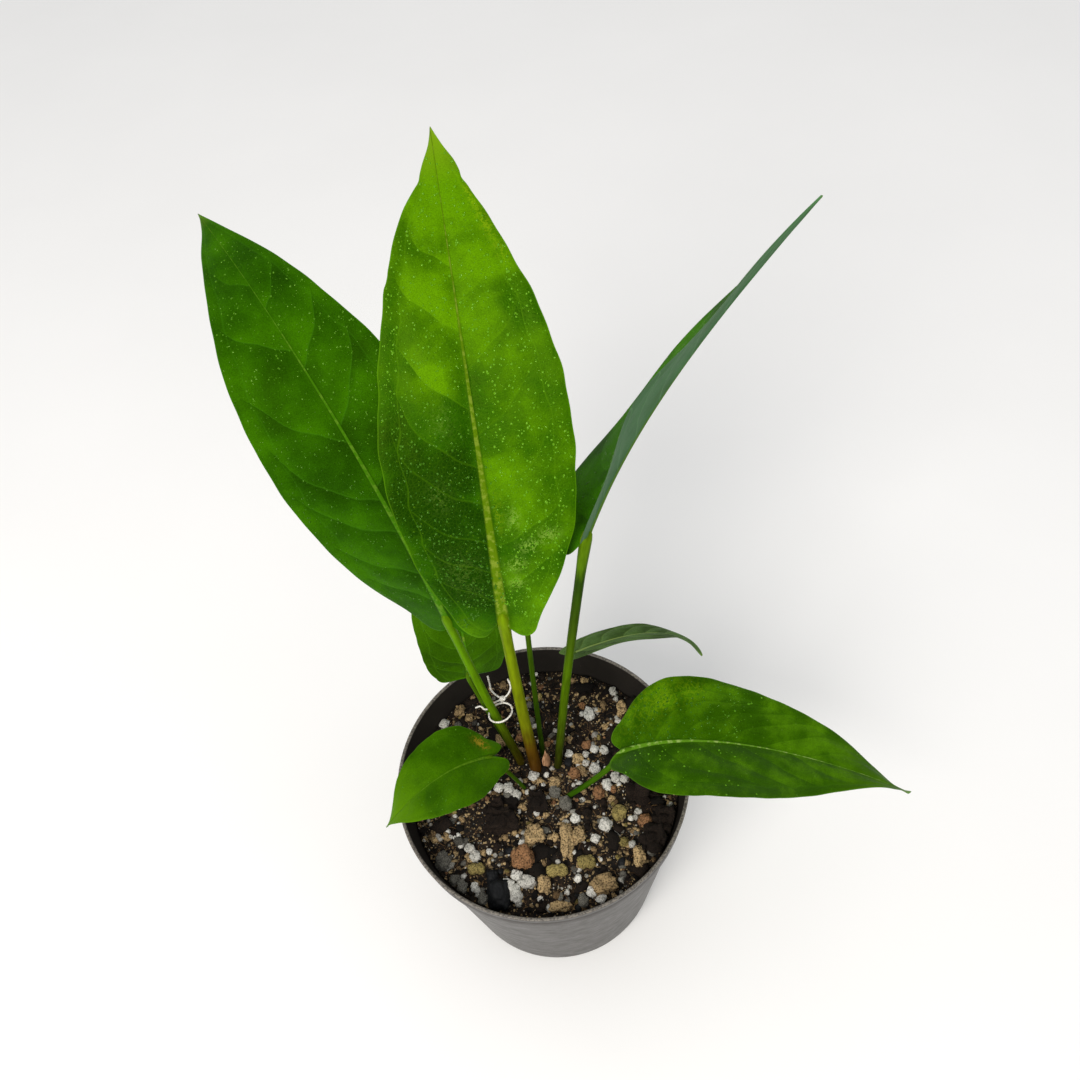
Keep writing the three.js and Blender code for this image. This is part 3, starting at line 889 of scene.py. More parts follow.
    def vein_phase(self, a: Array, share: Array, side: Array) -> tuple[Array, Array]:
        """Count the side veins tipwards, so that each vein runs where the count is whole.

        Args:
            a: Shares of the length.
            share: Distances from the midrib as shares of the half width.
            side: 0 on the left half and 1 on the right.

        Returns:
            The running count and the length that one count spans, as a share.
        """
        part = np.clip(share / COLLECTIVE, 0, 1.12)
        steep = self.climb * (0.5 + 0.6 * np.exp(-(((a - 0.5) / 0.2) ** 2)))
        uneven = 0.004 * np.sin(8 * share + 21 * a + 3 * side) * ease(0.05, 0.3, share)
        origin = a - steep * (0.7 * part + 0.3 * part**4) + uneven
        count = np.zeros_like(a)
        span = np.zeros_like(a)
        for half, starts in enumerate(self.laterals):
            ends = (starts[0] - 0.2, *starts, starts[-1] + 0.3)
            numbers = np.arange(len(ends), dtype=float)
            numbers[0] = -1.0 + 0.999
            numbers[-1] = len(starts) + 1.5
            here = np.interp(origin, ends, numbers)
            gap = np.interp(origin, ends, np.gradient(np.array(ends)) / np.gradient(numbers))
            count = np.where(side == half, here, count)
            span = np.where(side == half, gap, span)
        return count, span

    def rib_halfwidth(self, a: Array) -> Array:
        """Half the width of the midrib."""
        held = np.clip(a, 0, 1)
        return self.rib_half * (1 - held) ** 2.4 + self.rib_end * (1 - 0.6 * held)

    def relief(self, a: Array, b: Array, share: Array, side: Array) -> Array:
        """Height of the quilting between the veins, the same above and below."""
        count, _ = self.vein_phase(a, share, side)
        part = count - np.floor(count)
        dome = (4 * part * (1 - part)) ** 0.8
        painted_shade_inside = ease(0.0, 0.18, share) * (1 - ease(COLLECTIVE - 0.2, COLLECTIVE + 0.02, share))
        ends = ease(-0.02, 0.12, a) * (1 - ease(0.82, 0.97, a))
        outer = ease(COLLECTIVE, 0.92, share) * (1 - ease(0.92, 1.0, share))
        valley = -0.5 * np.exp(-((b / 5.0) ** 2))
        across = share * (2 * side - 1)
        puff = np.clip(1 + self.spotted(a, across, "quilt"), 0, 6)
        crumple = 0.12 * np.sin(61 * a + 9 * across) * np.sin(23 * across - 17 * a)
        return self.quilt * ends * (dome * painted_shade_inside * puff + 0.35 * outer + valley + crumple * painted_shade_inside)

    def upper_point(self, along: Array, across: Array, face: Array | float) -> Array:
        """Point of the finished skin: face is 1 above, -1 below and 0 at the margin."""
        a, b = self.places(along, across)
        share = np.abs(across)
        half = self.thick / 2 * (1 - 0.55 * share**5)
        rib = self.rib_halfwidth(a)
        fade = 1 - np.clip(a, 0, 1)
        up = self.rib_up * fade**1.3 * np.exp(-1.1 * (b / np.maximum(rib, 0.4)) ** 2)
        down = self.rib_down * fade * np.exp(-1.1 * (b / np.maximum(rib, 0.5)) ** 2)
        height = face * half + self.relief(a, b, share, (across >= 0).astype(int))
        height = height + np.where(face > 0, up, 0) - np.where(face < 0, down, 0)
        return self.surface(along, across) + self.facing(along, across) * height[:, None]

    @staticmethod
    def across_at(v: Array) -> tuple[Array, Array]:
        """Place across the blade, closer together near the midrib, and side for each grid place."""
        line, face = two_sided(v)
        return np.sign(line) * np.abs(line) ** 1.15, face

    def build_blade(self) -> bpy.types.Object:
        """Make the blade as one closed skin with its vein maps."""

        def place(u: Array, v: Array) -> Array:
            across, face = self.across_at(v)
            ends = (u == 0) | (u == 1)
            return self.upper_point(u, np.where(ends, 0.0, across), np.where(ends, 0.0, face))

        skin = wrap_grid(*self.grid, place)
        layer = skin.loops.layers.uv["grid"]
        for patch in skin.faces:
            middle = sum(loop[layer].uv.y for loop in patch.loops) / len(patch.loops)
            patch.material_index = int(middle > 0.5)
        for edge in skin.edges:
            edge.smooth = len({patch.material_index for patch in edge.link_faces}) == 1
        finishes = [self.finish.upper(), self.finish.under()]
        piece = make_piece(f"leaf_{self.name}", skin, finishes, (f"blade_{self.name}",))
        self.map_veins(piece.data)
        return piece

    def map_veins(self, mesh: bpy.types.Mesh) -> None:
        """Write the maps that the leaf finish reads in place of the blade's grid map."""
        corners = len(mesh.loops)
        grid = np.empty(corners * 2, dtype=np.float32)
        mesh.uv_layers["grid"].data.foreach_get("uv", grid)
        grid = grid.reshape(-1, 2).astype(float)
        starts = np.empty(len(mesh.polygons), dtype=np.int32)
        totals = np.empty(len(mesh.polygons), dtype=np.int32)
        mesh.polygons.foreach_get("loop_start", starts)
        mesh.polygons.foreach_get("loop_total", totals)
        across_middle, _ = self.across_at(np.add.reduceat(grid[:, 1], starts) / totals)
        owner = np.repeat(np.arange(len(starts)), totals)
        order = np.concatenate([np.arange(s, s + n) for s, n in zip(starts, totals)])
        side = np.empty(corners, dtype=int)
        side[order] = (across_middle[owner] >= 0).astype(int)
        across, _ = self.across_at(grid[:, 1])
        share = np.abs(across)
        signed = np.where(side == 1, 1, -1) * np.maximum(share, 1e-6)
        a, b = self.places(grid[:, 0], signed)
        count, span = self.vein_phase(a, share, side)
        widest = np.maximum(b / np.maximum(share, 0.05), 0.5)
        per_count = span * self.length * 0.8 / self.lateral_mm
        fade = ease(-0.01, 0.05, a) * (1 - ease(0.7, 0.93, a))
        fade *= 1 - 0.8 * ease(COLLECTIVE - 0.02, 0.9, share)
        fade = fade * (np.array(self.show)[side] + 0.7 * np.maximum(self.spotted(a, signed, "quilt"), 0))
        wavy = COLLECTIVE + 0.02 * np.cos(2 * np.pi * count)
        maps = {
            # The wet spots give the painted sheen.
            "blade": (a * self.length, self.spotted(a, signed, "wet")),
            "veins": (count, per_count),
            "lines": ((share - wavy) * widest / (self.lateral_mm * 0.8), (1 - share) * widest / 0.35),
            "ribs": (b / self.rib_halfwidth(a), fade),
            # Painted light and shade of the tone spots, with the yellow of the blemish spots.
            "painted_shading_and_yellow": (self.spotted(a, signed, "tone"), self.spotted(a, signed, "yellow")),
        }
        for name, values in maps.items():
            layer = mesh.uv_layers.new(name=name)
            layer.data.foreach_set("uv", np.stack(values, axis=1).astype(np.float32).ravel())
        mesh.uv_layers.remove(mesh.uv_layers["grid"])

    def stalk_samples(self) -> Array:
        """Dense points along the stalk's line, the same as the solid's."""
        base = np.array(self.base, float)
        foot = np.array([*self.foot, MIX_TOP])
        bow = np.array([*self.bow, 0.0])
        low, high = (foot + share * (base - foot) + bow for share in (0.33, 0.7))
        buried = foot - unit(low - foot) * STALK_DEPTH
        beyond = base + self.rib_direction(np.zeros(1))[0] * 3
        return curve_through(np.array([buried, foot, low, high, base, beyond]))

    def build_stalk(self) -> bpy.types.Object:
        """Make the stalk as a fine tapering tube that runs into the midrib."""
        samples = self.stalk_samples()
        thick, thin = self.stalk_radius
        length = length_of(samples)

        def radius(share: Array) -> Array:
            swelling = 1 + 0.18 * np.exp(-(((share - 0.95) / 0.06) ** 2))
            end = 1 - 0.45 * ease(1 - 3.5 / length, 1.0, share)
            return (thick + (thin - thick) * share) * swelling * end

        finish = StalkFinish(f"stalk_skin_{self.name}", self.stalk_colours, length).build()
        skin = tube(samples, rows=70, sides=14, radius=radius)
        return make_piece(f"petiole_{self.name}", skin, [finish], (f"stalk_{self.name}",))

    def build_droplets(self, water: bpy.types.Material) -> bpy.types.Object | None:
        """Scatter droplets over the upper side.

        Args:
            water: The finish of every droplet.

        Returns:
            The droplets, or None on a dry leaf.
        """
        spread = self.droplets
        if spread is None:
            return None
        random = np.random.default_rng(spread.seed)
        shares = random.random(3 * spread.count) ** spread.bias
        reach = spread.first + (spread.last - spread.first) * shares
        ranks = np.linspace(0, 1, len(STATIONS))
        along = np.interp(reach, STATIONS[LOBE_END:], ranks[LOBE_END:])
        width = smooth_at([0, *self.left, 0], along)
        along = along[random.random(len(along)) * width.max() < width][: spread.count]
        share = random.uniform(0.04, 0.97, len(along))
        across = np.where(random.random(len(along)) < spread.left_share, -share, share)
        sizes = random.random(len(along)) ** spread.crowding
        sizes = spread.smallest + (spread.largest - spread.smallest) * sizes
        points = self.upper_point(along, across, np.ones(len(along)))
        normals = self.facing(along, across)
        # Painted light: beads on the right half and the outer part towards the tip get the lit green, the
        # lower left the shaded one.
        lit = np.maximum(ease(0.3, 0.6, self.places(along, across)[0]), ease(0.0, 0.2, across))
        scatter = Scatter([bead_template(1), bead_template(2)])
        for point, normal, radius, tone in zip(points, normals, sizes, lit * spread.painted_light):
            turn = Vector(normal).to_track_quat("Z", "Y").to_matrix().to_4x4()
            wide = radius * MM
            stretch = Matrix.Diagonal((wide, wide * random.uniform(0.85, 1.15), wide * spread.height, 1))
            form = int(radius > spread.fine_from)
            scatter.place(form, Matrix.Translation(Vector(point) * MM) @ turn @ stretch, tone)
        return scatter.finish(f"droplets_{self.name}", [water], "blade")


def bead_template(detail: int) -> bpy.types.Mesh:
    """A round bead of radius one."""
    shape = bmesh.new()
    bmesh.ops.create_icosphere(shape, subdivisions=detail, radius=1.0)
    return to_mesh("bead", shape)


def lump_template(seed: int, detail: int, rough: float, boxy: float) -> bpy.types.Mesh:
    """A stone-like lump of about radius one.

    Args:
        seed: Picks the form.
        detail: Subdivisions of the ball that it starts from.
        rough: Depth of its dents as a share of the radius.
        boxy: 1 is round, less is more block-like.

    Returns:
        The lump's mesh.
    """
    shape = bmesh.new()
    bmesh.ops.create_icosphere(shape, subdivisions=detail, radius=1.0)
    shift = Vector((seed * 3.7, seed * 1.9, seed * 5.3))
    for vert in shape.verts:
        way = vert.co.normalized()
        block = Vector([math.copysign(abs(c) ** boxy, c) for c in way])
        dent = noise.noise(way * 1.1 + shift) + 0.45 * noise.noise(way * 2.7 + shift)
        dent += 0.4 * noise.noise(way * 6.0 + shift)
        vert.co = block * (1 + rough * dent)
    return to_mesh(f"lump_{seed}", shape)


def fibre_template(seed: int) -> bpy.types.Mesh:
    """A curved fibre of length about one."""
    random = np.random.default_rng(seed)
    stops = (-0.5, -0.2, 0.15, 0.5)
    points = np.array([[x, random.uniform(-0.16, 0.16), random.uniform(-0.03, 0.05)] for x in stops])
    line = curve_through(points, detail=6) / MM
    skin = tube(line, rows=6, sides=4, radius=lambda share: (0.02 - 0.008 * share) / MM)
    return to_mesh(f"fibre_{seed}", skin)


class Scatter:
    """Many copies of a few small shapes, fused into one piece."""

    def __init__(self, templates: list[bpy.types.Mesh], reach: float = math.inf) -> None:
        """Keep each template's own points.

        Args:
            templates: Shapes that are placed by number.
            reach: Radius of the wall round the pot's axis that flattens the copies, in metres.
        """
        self.templates = templates
        self.reach = reach
        self.points = [np.array([v.co[:] for v in mesh.vertices]) for mesh in templates]
        self.shape = bmesh.new()
        self.tones: list[tuple[int, float]] = []

    def place(self, number: int, matrix: Matrix, tone: float) -> None:
        """Add a copy of a template.

        Args:
            number: Which template.
            matrix: Where it goes, in metres.
            tone: Its own shade, from 0 to 1.
        """
        turn = np.array(matrix)
        points = self.points[number] @ turn[:3, :3].T + turn[:3, 3]
        away = np.hypot(points[:, 0], points[:, 1])
        points[:, :2] *= np.minimum(1, self.reach / np.maximum(away, 1e-9))[:, None]
        mesh = self.templates[number]
        mesh.vertices.foreach_set("co", points.astype(np.float32).ravel())
        self.shape.from_mesh(mesh)
        self.tones.append((len(points), tone))

    def finish(self, name: str, materials: list[bpy.types.Material], slot: str) -> bpy.types.Object:
        """Turn the copies into a piece, with each one's shade as an attribute.

        Args:
            name: Name of the piece.
            materials: Its finishes.
            slot: Not used.

        Returns:
            The piece.
        """
        self.shape.normal_update()
        piece = make_piece(name, self.shape, materials)
        counts, tones = zip(*self.tones)
        attribute = piece.data.attributes.new("tone", "FLOAT", "POINT")
        attribute.data.foreach_set("value", np.repeat(tones, counts).astype(np.float32))
        for mesh in self.templates:
            bpy.data.meshes.remove(mesh)
        return piece


class Kind(Enum):
    """Kinds of grain in the mix."""

    PERLITE = "perlite"
    GREY = "pumice"
    TAN = "tan_grit"
    OCHRE = "ochre_grit"
    CLAY = "baked_clay"
    BARK = "bark"
    CRUMB = "peat_crumbs"
    CHARCOAL = "charcoal"
    CHIP = "tan_chips"


@dataclass(frozen=True)
class GrainKind:
    """How one kind of grain looks and how often it lies in the mix.

    small and large bound its half width in mm, flat and long are its height and length as
    shares of that, rough is the depth of its dents and boxy turns round into block-like.
    """

    finish: GrainFinish
    count: int
    small: float
    large: float
    flat: float = 0.75
    long: float = 1.3
    rough: float = 0.3
    boxy: float = 0.85
    detail: int = 2


GRAINS: dict[Kind, GrainKind] = {
    Kind.PERLITE: GrainKind(
        GrainFinish("expanded_perlite", "#8e8b82", "#e2e0d8", "#2c2925", 0.5, 0.44), count=480,
        small=0.28, large=1.6, flat=0.8, long=1.1, rough=0.45,
    ),
    Kind.GREY: GrainKind(
        GrainFinish("pumice_grit", "#4c4a44", "#858278", "#1f1d1b", 0.35, 0.49), count=220, small=0.35,
        large=2.0, long=1.2, rough=0.45,
    ),
    Kind.TAN: GrainKind(
        GrainFinish("tan_grit", "#604b32", "#c2a678", "#20160e", 0.65, 0.48), count=430, small=0.35,
        large=1.8, flat=0.7, long=1.5, rough=0.6, boxy=0.8,
    ),
    Kind.OCHRE: GrainKind(
        GrainFinish("ochre_grit", "#5c5129", "#9c8c54", "#262012", 0.6, 0.47), count=40, small=0.5,
        large=1.6, flat=0.7, rough=0.4,
    ),
    Kind.CLAY: GrainKind(
        GrainFinish("baked_clay", "#5b4230", "#a0754f", "#241710", 0.7, 0.47), count=60, small=0.5,
        large=1.8, flat=0.8, long=1.2, rough=0.4,
    ),
    Kind.BARK: GrainKind(
        GrainFinish("composted_bark", "#110d09", "#2d2118", "#040302", 0.4, 0.52), count=150, small=0.8,
        large=3.2, flat=0.5, long=1.8, rough=0.8, boxy=0.65,
    ),
    Kind.CRUMB: GrainKind(
        GrainFinish("peat_crumb", "#0a0806", "#261b13", "#030202", 0.5, 0.5), count=650, small=0.4,
        large=1.7, flat=0.8, long=1.5, rough=0.6,
    ),
    Kind.CHARCOAL: GrainKind(
        GrainFinish("charcoal", "#08090a", "#15171a", "#030303", 1.0, 0.4, 0.6), count=26, small=0.8,
        large=2.4, flat=0.8, long=1.2, boxy=0.7,
    ),
    Kind.CHIP: GrainKind(
        GrainFinish("tan_chips", "#35281b", "#c4a97c", "#150f09", 0.4, 0.42), count=4600, small=0.2,
        large=0.8, flat=0.5, long=2.4, rough=0.5, boxy=0.8, detail=1,
    ),
}

# Grains that the eye finds first: place from the pot's axis, half width and half depth.
LUMPS: dict[Kind, tuple[tuple[float, float, float, float], ...]] = {
    Kind.CLAY: (
        (-12, -31, 4.5, 4.5), (39, -21, 2.9, 2.4), (22, -7, 2.4, 2.7), (20, 15.5, 2.0, 2.0),
        (13, 3, 2.4, 2.3),
    ),
    Kind.TAN: (
        (6, -26, 2.4, 7.0), (18, -45, 4.6, 3.2), (-7, -22, 3.6, 3.3), (-5, -42, 2.3, 3.4),
        (11, -24, 2.3, 2.8), (0, -51, 4.0, 1.9), (34, -36, 2.2, 4.2), (37, 31, 2.0, 2.8),
        (-34, 40, 2.0, 2.6), (-30, 36, 1.5, 1.8), (-17, 23, 2.0, 3.2), (15, 9, 2.2, 2.3),
        (4, 0, 2.0, 2.2),
    ),
    Kind.CHARCOAL: ((-23, -43, 4.5, 6.0), (-25, -36, 2.4, 2.8)),
    Kind.PERLITE: (
        (-19, -40, 2.4, 2.8), (-15, -36.5, 2.0, 2.3), (-11, -40, 3.1, 2.4), (-16, -44, 2.3, 3.4),
        (-31, -27, 2.0, 2.4), (-33, -23.5, 1.8, 1.8), (-11, -25, 2.0, 2.3), (-4, 4, 2.0, 2.3),
        (26, -4, 2.0, 2.3), (11, -17, 1.7, 1.9), (23, -21, 2.4, 2.8), (18, -26, 1.7, 1.9),
        (37, -17, 1.5, 1.4), (14, -47, 2.0, 2.3), (17, -49.5, 1.9, 2.1), (35, 40, 1.6, 1.9),
        (23, 30, 2.0, 3.2), (-41, 35, 2.0, 2.3), (12, 12, 1.6, 1.8), (18.5, 7, 1.4, 1.6),
        (19, 11, 1.3, 1.6), (23, 13, 1.6, 1.9), (27, 12, 1.6, 1.9), (22, 4, 2.0, 2.3), (30, -1, 2.0, 2.2),
        (33.5, -2, 1.6, 1.8), (-15, 0, 2.0, 2.2), (-19, 1, 1.9, 2.2), (-12, -3, 1.6, 2.6),
        (-32, -39, 1.6, 1.9),
    ),
    Kind.OCHRE: (
        (1, -37, 3.6, 2.7), (13, -35, 3.1, 3.0), (-31, -32, 2.9, 2.5), (29, -17, 2.9, 3.0),
        (29, -29, 1.9, 1.9),
    ),
    Kind.GREY: (
        (-44, -27, 3.2, 3.4), (4, -4, 2.4, 2.4), (8, -10, 2.4, 3.0), (10, -50, 2.0, 2.3),
        (-40, -35, 2.0, 2.3), (-37, -38, 2.0, 2.3), (-29, -44, 2.0, 2.3),
    ),
    Kind.BARK: (
        (-21, -7, 2.6, 3.5), (40, -8, 5.6, 6.0), (47, -22, 4.4, 4.4), (41, -29, 4.6, 4.6),
        (-20, -14, 6.4, 4.6), (-4, -8, 3.7, 4.0),
    ),
}


def random_place(random: np.random.Generator, margin: float) -> tuple[float, float]:
    """Pick a random place in the pot, at least a margin in millimetres from its wall."""
    radius = (MIX_EDGE - margin) * math.sqrt(random.random())
    angle = random.uniform(0, FULL_TURN)
    return radius * math.cos(angle), radius * math.sin(angle)


def laid(random: np.random.Generator, place: Point, tilt: float, axis: str) -> Matrix:
    """Lay something down at a place, turned at random and tilted a little about one axis."""
    heading = Matrix.Rotation(random.uniform(0, 6.28), 4, "Z")
    lean = Matrix.Rotation(random.uniform(-tilt, tilt), 4, axis)
    return Matrix.Translation(Vector(place) * MM) @ heading @ lean


@dataclass
class MixBed:
    """The potting mix: a dark mass that fills the pot, covered in grains and fibres."""

    feet: list[tuple[float, float, float]]
    bottom: float = 4.3
    bottom_radius: float = 44.0
    rings: int = 64
    steps: int = 180
    sunk: float = 0.7
    lump_flat: float = 0.85
    lump_rise: float = 0.45
    swell_mm: float = 5.0
    crumb_mm: float = 1.7
    clump_mm: float = 9.0
    fibres: int = 420
    fine_forms: int = 3
    plain_forms: int = 5
    fibre_forms: int = 6
    seed: int = 5

    def surface_height(self, x: float, y: float) -> float:
        """Height of the dark mass at a place."""
        rough = noise.noise(Vector((x, y, 3.0)) / self.swell_mm)
        rough += 0.4 * noise.noise(Vector((x, y, 9.0)) / self.crumb_mm)
        return float(mix_height(math.hypot(x, y))) - self.sunk + rough

    def build_mass(self) -> bpy.types.Object:
        """Make the dark mass by turning its outline and roughening the top."""
        outline = [(0.0, self.bottom), (self.bottom_radius, self.bottom), (MIX_EDGE, MIX_TOP - 4.0)]
        outline += [(MIX_EDGE * (1 - k / self.rings), MIX_TOP) for k in range(self.rings)]
        shape = turn_outline([*outline, (0.0, MIX_TOP)], self.steps)
        for vert in shape.verts:
            if vert.co.z > (MIX_TOP - 0.1) * MM:
                vert.co.z = self.surface_height(vert.co.x / MM, vert.co.y / MM) * MM
        return make_piece("mix_mass", shape, [PeatFinish().build()], ("potting_mix",))

    def is_clear(self, x: float, y: float, size: float) -> bool:
        """Whether a scattered grain keeps off the pot wall, the stalks and the grains that stand out."""
        if math.hypot(x, y) + size > MIX_EDGE:
            return False
        if any(math.hypot(x - fx, y - fy) <= size * 0.8 + radius for fx, fy, radius in self.feet):
            return False
        found = (lump for group in LUMPS.values() for lump in group)
        return all(math.hypot(x - lump[0], y - lump[1]) >= 0.8 * min(lump[2:]) for lump in found)

    def build_grains(self) -> list[bpy.types.Object]:
        """Scatter each kind of grain, the ones that stand out first."""
        random = np.random.default_rng(self.seed)
        pieces = []
        for number, (kind, grain) in enumerate(GRAINS.items()):
            details = [4] * self.fine_forms + [grain.detail] * self.plain_forms
            forms = [
                lump_template(10 * number + k, detail, grain.rough, grain.boxy)
                for k, detail in enumerate(details)
            ]
            scatter = Scatter(forms, reach=MIX_EDGE * MM)
            for x, y, half_width, half_depth in LUMPS.get(kind, ()):
                height = min(half_width, half_depth) * self.lump_flat
                z = self.surface_height(x, y) + self.lump_rise * height
                size = Matrix.Diagonal((half_width * MM, half_depth * MM, height * MM, 1))
                place = Matrix.Translation(Vector((x, y, z)) * MM) @ size
                scatter.place(int(random.integers(self.fine_forms)), place, random.uniform(0.5, 1.0))
            for _ in range(grain.count):
                size = grain.small + (grain.large - grain.small) * random.random() ** 2.6
                x, y = random_place(random, size)
                if not self.is_clear(x, y, size):
                    continue
                clump = noise.noise(Vector((x, y, 20.0 + number)) / self.clump_mm)
                clump += 0.2 if y < 5 else 0.06
                if kind not in (Kind.CRUMB, Kind.BARK) and clump < random.uniform(-0.5, 0.3):
                    continue
                z = self.surface_height(x, y) + size * random.uniform(0.0, 0.35)
                place = laid(random, (x, y, z), 0.5, "X")
                long = size * grain.long ** random.uniform(-0.3, 1)
                form = Matrix.Diagonal((size * MM, long * MM, size * grain.flat * MM, 1))
                which = self.fine_forms + int(random.integers(self.plain_forms))
                scatter.place(which, place @ form, random.random())
            pieces.append(scatter.finish(f"mix_{kind.value}", [grain.finish.build()], "mix"))
        return pieces

    def build_fibres(self) -> bpy.types.Object:
        """Lay short coir fibres among the grains."""
        random = np.random.default_rng(self.seed + 1)
        scatter = Scatter([fibre_template(k) for k in range(self.fibre_forms)], reach=MIX_EDGE * MM)
        for _ in range(self.fibres):
            length = random.uniform(2.0, 7.0)
            x, y = random_place(random, 0.5 * length)
            z = self.surface_height(x, y) + random.uniform(0.5, 1.6)
            place = laid(random, (x, y, z), 0.15, "Y") @ Matrix.Scale(length * MM, 4)
            scatter.place(int(random.integers(self.fibre_forms)), place, random.random())
        coir = GrainFinish("coir_fibre", "#3c2a1a", "#8a6a45", "#21170e", 0.8, 0.35)
        return scatter.finish("mix_fibres", [coir.build()], "mix")


@dataclass
class NurseryPot:
    """The round nursery pot: thin wall, stepped rim band, foot ring and drained floor."""

    steps: int = 160
    drain_holes: int = 8
    drain_radius: float = 4.0
    drain_circle: float = 30.0
    floor_top: float = 4.0
    inside_top: float = 99.2
    # Lip and rim-step heights where paler lines are painted as highlights, partly wear.
    rubbed_and_highlit_edges: tuple[float, ...] = (99.85, 95.3, 89.9)

    def outline(self) -> list[tuple[float, float]]:
        """Radius and height of the wall's outline, from the underside round the rim to the floor."""
        rim, top, foot, floor = RIM_RADIUS, POT_HEIGHT, FOOT_RADIUS, self.floor_top
        return [
            (0.0, 0.0), (14.4, 0.0), (15.2, 0.5), (16.5, 2.5), (40.3, 2.5), (41.1, 0.5), (41.6, 0.0),
            (foot - 0.6, 0.0), (foot, 0.6), (foot + 0.3, 2.4), (rim - 2.6, 86.4), (rim - 2.2, 89.0),
            (rim - 1.15, 89.6), (rim - 1.0, 90.2), (rim - 0.75, 94.4), (rim - 0.95, 95.0),
            (rim - 0.7, 95.6), (rim - 0.3, 98.8), (rim, 99.3), (rim - 0.05, 99.8), (rim - 0.5, top),
            (rim - 1.1, 99.9), (rim - 1.45, 99.4), (rim - 2.3, 91.0), (rim - 3.5, 89.0), (45.2, 5.0),
            (44.4, floor), (16.0, floor), (14.5, 1.5), (0.0, 1.5),
        ]

    def build(self) -> bpy.types.Object:
        """Turn the wall, drill the floor and give the inside a darker finish, painted shade."""
        shape = turn_outline(self.outline(), self.steps)
        outer = PlasticFinish(
            "moulded_polypropylene", "#373431", "#45413d", "#7d776e", 0.42, rubbed_and_highlit_edges=self.rubbed_and_highlit_edges
        )
        # The inside is painted darker than the outside, as the shade within the pot.
        painted_shade_inside = PlasticFinish("polypropylene_inside_painted_shade", "#1e1b18", "#2e2a24", "#443c32", 0.7, 0.12)
        piece = make_piece("nursery_pot", shape, [outer.build(), painted_shade_inside.build()], ("pot",))
        self.drill(piece)
        # Faces inside the wall and on the inner floor take the painted-shade finish.
        for face in piece.data.polygons:
            inwards = face.normal.x * face.center.x + face.normal.y * face.center.y < 0
            inside = inwards and self.floor_top * MM < face.center.z < self.inside_top * MM
            face.material_index = int(inside or 3.9 * MM < face.center.z < 4.1 * MM)
        return piece

    def drill(self, piece: bpy.types.Object) -> None:
        """Cut the drain holes through the floor."""
        drills = bmesh.new()
        ring = self.drain_circle * MM
        for k in range(self.drain_holes):
            angle = (k + 0.5) / self.drain_holes * 2 * math.pi
            bmesh.ops.create_cone(
                drills,
                cap_ends=True,
                segments=32,
                radius1=self.drain_radius * MM,
                radius2=self.drain_radius * MM,
                depth=8 * MM,
                matrix=Matrix.Translation((ring * math.cos(angle), ring * math.sin(angle), 3 * MM)),
            )
        mesh = to_mesh("drills", drills)
        cutter = add_object("drills", mesh)
        cut = piece.modifiers.new("drain", "BOOLEAN")
        cut.operation = "DIFFERENCE"
        cut.solver = "EXACT"
        cut.object = cutter
        graph = bpy.context.evaluated_depsgraph_get()
        drilled = bpy.data.meshes.new_from_object(piece.evaluated_get(graph))
        piece.modifiers.remove(cut)
        bpy.data.objects.remove(cutter)
        bpy.data.meshes.remove(mesh)
        plain = piece.data
        piece.data = drilled
        bpy.data.meshes.remove(plain)
        drilled.name = "nursery_pot"


